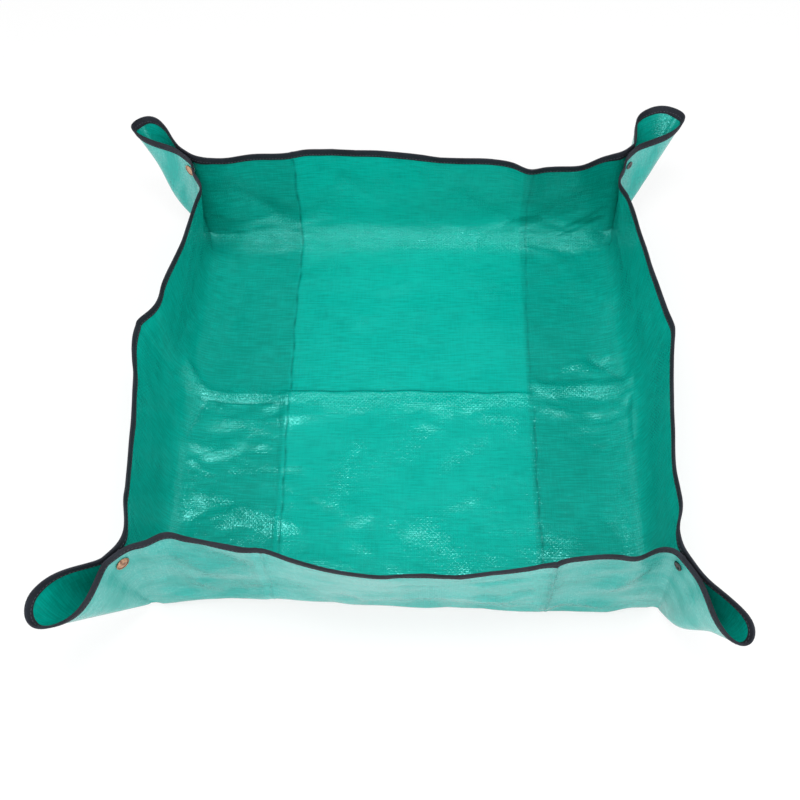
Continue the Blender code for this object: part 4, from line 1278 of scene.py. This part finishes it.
def sheet_finish(name, deep, light, worn_and_sheen, painted_sheen, line_shade):
    """Coated woven sheet of unlike strips: pale with wear and painted highlights, painted sheen, painted
    shade in lines.
    """
    made = Finish(name)
    weft, warp = made.noise("weft"), made.noise("warp")
    cloud = made.noise("cloud")
    tone = made.plus(made.ramp(weft, 0.34, 0.66, 0.0, 0.55), made.ramp(warp, 0.34, 0.66, 0.0, 0.20))
    tone = made.plus(tone, made.ramp(cloud, 0.3, 0.7, -PANEL_SHARE / 2, 0.25 - PANEL_SHARE / 2))
    # The middle panel is coloured lighter than those beside it
    panel = made.mark(PANEL_NAME)
    tone = made.plus(tone, made.times(panel, PANEL_SHARE), clamp=True)
    colour = made.mix(tone, deep, light)
    wear = made.mark(WEAR_AND_SHEEN_NAME)
    sharp = made.mark(SHARP_NAME)
    weave = weave_height(made, WEAVE_PITCH)
    speck = made.ramp(made.noise("speck"), 0.40, 0.64)
    patch = made.ramp(made.noise("patch"), 0.44, 0.62)
    streak = made.ramp(made.noise("streak"), 0.44, 0.58)
    # Pale where worn, which also paints the highlights of creases and the back fold, dotted as on the weave;
    # and a painted sheen in streaks, which outside stands for the white floor's reflection
    dots = made.times(speck, made.ramp(weave, 0.2, 0.9, 0.25, 1.0))
    rubbed_and_sheen = made.times(wear, made.ramp(patch, 0.0, 1.0, 0.3, 1.0))
    pale = made.times(rubbed_and_sheen, WORN_AND_SHEEN_SHARE)
    pale = made.plus(pale, made.times(streak, painted_sheen))
    pale = made.times(pale, made.ramp(dots, 0.0, 1.0, 0.45, 1.3), clamp=True)
    colour = made.mix(pale, colour, worn_and_sheen)
    # Painted shade in the sharp crease lines
    line = made.times(sharp, line_shade)
    colour = made.mix(line, colour, (*(LINE_DARKNESS * c for c in deep[:3]), 1.0))
    normal = made.bump(made.noise("ripple"), "ripple")
    normal = made.bump(weft, "weft", normal)
    crinkle = made.noise("crinkle")
    crinkle = made.times(crinkle, made.ramp(wear, 0.0, 0.8, 0.12, 1.0))
    normal = made.bump(crinkle, "crinkle", normal)
    relief = made.times(weave, made.ramp(wear, 0.0, 0.6, 0.15, 1.0))
    relief = made.times(relief, made.ramp(speck, 0.0, 1.0, 0.2, 1.3))
    normal = made.bump(relief, "weave", normal)
    rough = made.ramp(cloud, 0.3, 0.7, 0.16, 0.26)
    made.set(IOR=SHEET_IOR, Specular_IOR_Level=SHEET_SPECULAR, Specular_Tint=SPECULAR_TINT)
    return made.set(Base_Color=colour, Roughness=rough, Normal=normal)


def tape_finish(name):
    """Ribbed polyester tape."""
    made = Finish(name)
    u = made.flat_place()[0]
    rib = made.maths("ABSOLUTE", made.maths("SINE", made.times(u, math.pi / TAPE_RIB)))
    fine = made.noise("tape_fine")
    cloud = made.noise("tape_cloud")
    tone = made.plus(made.ramp(cloud, 0.3, 0.7, 0.0, 0.6), made.ramp(fine, 0.3, 0.7, 0.0, 0.4))
    colour = made.mix(tone, TAPE_DARK, TAPE_LIGHT)
    normal = made.bump(fine, "tape_fine", made.bump(rib, "rib"))
    return made.set(Base_Color=colour, Roughness=0.78, Normal=normal, Specular_IOR_Level=0.2)


def thread_finish(name):
    made = Finish(name)
    place = made.node("ShaderNodeTexCoord").outputs["Object"]
    twist = made.grain(place, 2600.0, 1.0)
    colour = made.mix(twist, THREAD_DARK, THREAD_LIGHT)
    return made.set(Base_Color=colour, Roughness=0.6, Normal=made.bump(twist, "twist"))


def metal_finish(name, clean, tarnished, roughness):
    """Plated metal with tarnish in patches and fine scratches."""
    made = Finish(name)
    place = made.node("ShaderNodeTexCoord").outputs["Object"]
    patch = made.grain(place, 420.0, 4.0)
    fine = made.grain(place, 5200.0, 2.0)
    colour = made.mix(made.ramp(patch, 0.42, 0.68), clean, tarnished)
    rough = made.ramp(patch, 0.35, 0.7, roughness, roughness + 0.2)
    return made.set(Base_Color=colour, Roughness=rough, Metallic=1.0, Normal=made.bump(fine, "scratch"))


# What each piece rides on

def fold_blends(sheet, pieces):
    """Where each part of a side's fold starts and ends its turn from the floor to its wall.

    The turn starts past every point that the part shares with the floor, and ends short of every point that
    it shares with its wall, so that neither edge opens. The front's foot is turned by height, because it
    stands out past the hinge, but for its ends, which have to turn at the hubs as the other sides do.
    """
    points = {name: np.unique(sheet.quads[chosen]) for name, chosen in pieces.items()}
    made = {}
    for number, side in enumerate(SIDES):
        place = turned(sheet.place, -number)
        out, up = -place[:, 1] - FLOOR_HALF, place[:, 2] - HUB_RISE
        middle, ends = [f"{side}_fold"], [f"{side}_fold_left", f"{side}_fold_right"]
        if side == "front":
            groups = ((middle, QUARTER_TURN, MAT_SIDE), (ends, FOLD_SLANT, END_FOLD_TURN))
        else:
            groups = ((middle + ends, FOLD_SLANT, MAT_SIDE),)
        upper = np.union1d(points[f"{side}_wall"], points[f"{CORNERS[number]}_crease"])
        for names, slant, longest in groups:
            mine = np.unique(np.concatenate([points[name] for name in names]))
            run = out * math.cos(slant) + up * math.sin(slant)
            end = run[np.intersect1d(mine, upper)].min() - FOLD_ROOM
            start = max(run[np.intersect1d(mine, points["floor"])].max() + FOLD_ROOM, end - longest)
            way = np.array([0.0, -math.cos(slant), math.sin(slant)])
            hinge = np.array([0.0, -FLOOR_HALF, HUB_RISE])
            for name in names:
                made[name] = [tuple(turned(hinge + at * way, number)) for at in (start, end)]
    return made


def crease_blend(piece, corner):
    """A strip of a corner crease, baked where it lies and left on no body."""
    number = CORNERS.index(corner)
    keel, crease, _ = ear_lines(corner, "cap")
    wall = turned(np.array([1.0, 0.0, 0.0]), number)
    wall = unit(wall - (wall @ crease) * crease)
    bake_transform(piece)


def keel_blend(piece, corner):
    """The bottom strip of an ear, baked where it lies and left on no body."""
    keel, _, cap_out = ear_lines(corner, "cap")
    stud_out = ear_lines(corner, "stud")[2]
    across = cap_out - stud_out
    across = unit(across - (across @ keel) * keel)
    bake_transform(piece)


def settle(piece, name, blends):
    """Puts a piece of the sheet or the tape on its body, or bakes it where it lies."""
    owner, kind = name.rpartition("_")[::2]
    if name == "floor":
        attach(piece, "root")
    elif name in blends:
        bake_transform(piece)
    elif kind == "wall":
        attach(piece, f"wall_{owner}")
    elif kind == "ear":
        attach(piece, f"{owner}_half")
    elif kind == "crease":
        crease_blend(piece, owner)
    else:
        keel_blend(piece, owner)


def build_sheet_pieces(sheet, pieces, finishes):
    """The sheet's pieces, each put on its body or baked where it lies."""
    materials = [finishes["inside"], finishes["outside"]]
    blends = fold_blends(sheet, pieces)
    for name, chosen in pieces.items():
        piece = shell_object(sheet, f"{name}_sheet", chosen, materials)
        settle(piece, name, blends)
        size, area = flat_size(sheet, chosen)
        min(area, size.prod())
        if name == "floor":
            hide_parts("floor_panel")
        elif name.endswith(("wall", "ear")):
            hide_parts(name)


def build_tape_pieces(sheet, pieces, finishes):
    """The tape with the stitches through it, one stretch to each piece of the sheet at the rim."""
    for name, sewn in build_tape(sheet, pieces, finishes["tape"], finishes["thread"]).items():
        for piece in sewn:
            settle(piece, name, {})
        if name.endswith("_wall"):
            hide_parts(name.replace("_wall", "_tape"))
        elif name.endswith("_ear"):
            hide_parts(f"{name}_tape")


def build_snaps(finishes):
    for corner in CORNERS:
        for part, piece in build_snap(corner, finishes).items():
            half = "stud_half" if part in ("stud", "post") else "cap_half"
            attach(piece, f"{corner}_{half}")
            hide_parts(f"{corner}_snap_{part}")


# The stage

def camera():
    """The photograph's view: looking down at the mat from the front."""
    pitch, yaw, roll = (math.radians(angle) for angle in (CAMERA_PITCH, CAMERA_YAW, CAMERA_ROLL))
    ahead = Vector((math.sin(yaw) * math.cos(pitch), math.cos(yaw) * math.cos(pitch), -math.sin(pitch)))
    right = ahead.cross(Vector((0.0, 0.0, 1.0))).normalized()
    down = ahead.cross(right)
    across = right * math.cos(roll) + down * math.sin(roll)
    up = right * math.sin(roll) - down * math.cos(roll)
    made = add_object("camera", bpy.data.cameras.new("camera"))
    made.data.lens = CAMERA_LENS
    made.data.sensor_width = CAMERA_SENSOR
    made.matrix_world = Matrix.Translation(CAMERA_PLACE) @ Matrix((across, up, -ahead)).transposed().to_4x4()
    bpy.context.scene.camera = made


def lamp(name, place, aim, size, power):
    data = bpy.data.lights.new(name, "AREA")
    data.shape = "RECTANGLE"
    data.size, data.size_y = size
    data.energy = power
    made = add_object(name, data)
    made.location = place
    made.rotation_euler = (Vector(aim) - Vector(place)).to_track_quat("-Z", "Y").to_euler()


def seen_share(nodes):
    """1 for what the camera, a mirror or glass sees, and 0 for the light on the object."""
    path = nodes.node("ShaderNodeLightPath")
    total = path.outputs["Is Camera Ray"]
    for other in ("Is Glossy Ray", "Is Transmission Ray"):
        total = nodes.maths("MAXIMUM", total, path.outputs[other])
    return total


def white_world():
    """White where it is seen near the horizon, and greyer overhead, like a studio's ceiling."""
    world = bpy.data.worlds.new("studio")
    bpy.context.scene.world = world
    world.use_nodes = True
    nodes = Nodes(world.node_tree)
    way = nodes.node("ShaderNodeTexCoord").outputs["Generated"]
    height = nodes.node("ShaderNodeSeparateXYZ", {0: way}).outputs[2]
    seen = nodes.ramp(height, HORIZON_SINE, ZENITH_SINE, 1.0, ZENITH_GLOW)
    level = nodes.ramp(seen_share(nodes), 0.0, 1.0, WORLD_LIGHT, seen)
    back = world.node_tree.nodes["Background"]
    nodes.feed(back.inputs["Color"], WHITE)
    nodes.feed(back.inputs["Strength"], level)


def floor():
    """A white floor, bright where it is seen, that still takes the object's shadow."""
    mesh = bpy.data.meshes.new("studio_floor")
    half = FLOOR_REACH
    corners = [(-half, -half, 0), (half, -half, 0), (half, half, 0), (-half, half, 0)]
    mesh.from_pydata(corners, [], [(0, 1, 2, 3)])
    made = add_object("studio_floor", mesh)
    made.location.z = -FLOOR_DROP
    finish = Finish("studio_floor")
    finish.set(Base_Color=FLOOR_WHITE, Roughness=0.8, Specular_IOR_Level=0.0)
    glow = finish.node("ShaderNodeEmission", {"Color": WHITE, "Strength": 1.0}).outputs[0]
    share = finish.times(seen_share(finish), FLOOR_GLOW_SHARE)
    both = finish.node("ShaderNodeMixShader", {0: share, 1: finish.shader.outputs[0], 2: glow})
    finish.feed(finish.tree.nodes["Material Output"].inputs["Surface"], both.outputs[0])
    mesh.materials.append(finish.made)


def main():
    finishes = {
        # The last two numbers: a painted sheen in streaks, strongest outside where it stands for the white
        # floor's reflection, and how strong the painted shade in the lines is
        "inside": sheet_finish("coated_inside", INSIDE_DEEP, INSIDE_LIGHT, INSIDE_WORN_AND_SHEEN, 0.05, 0.7),
        "outside": sheet_finish("coated_outside", OUTSIDE_DEEP, OUTSIDE_LIGHT, OUTSIDE_WORN_AND_SHEEN, 0.38, 0.3),
        "tape": tape_finish("edge_tape"),
        "thread": thread_finish("sewing_thread"),
        **{metal: metal_finish(f"{metal}_plate", *values) for metal, values in PLATES.items()},
    }
    sheet = build_sheet()
    shape_sheet(sheet)
    pieces = piece_faces(sheet)
    build_sheet_pieces(sheet, pieces, finishes)
    build_tape_pieces(sheet, pieces, finishes)
    build_snaps(finishes)
    camera()
    white_world()
    floor()
    for name, place, aim, size, power in LAMPS:
        lamp(name, place, aim, size, power)
    bpy.context.scene.view_settings.view_transform = "Standard"


main()
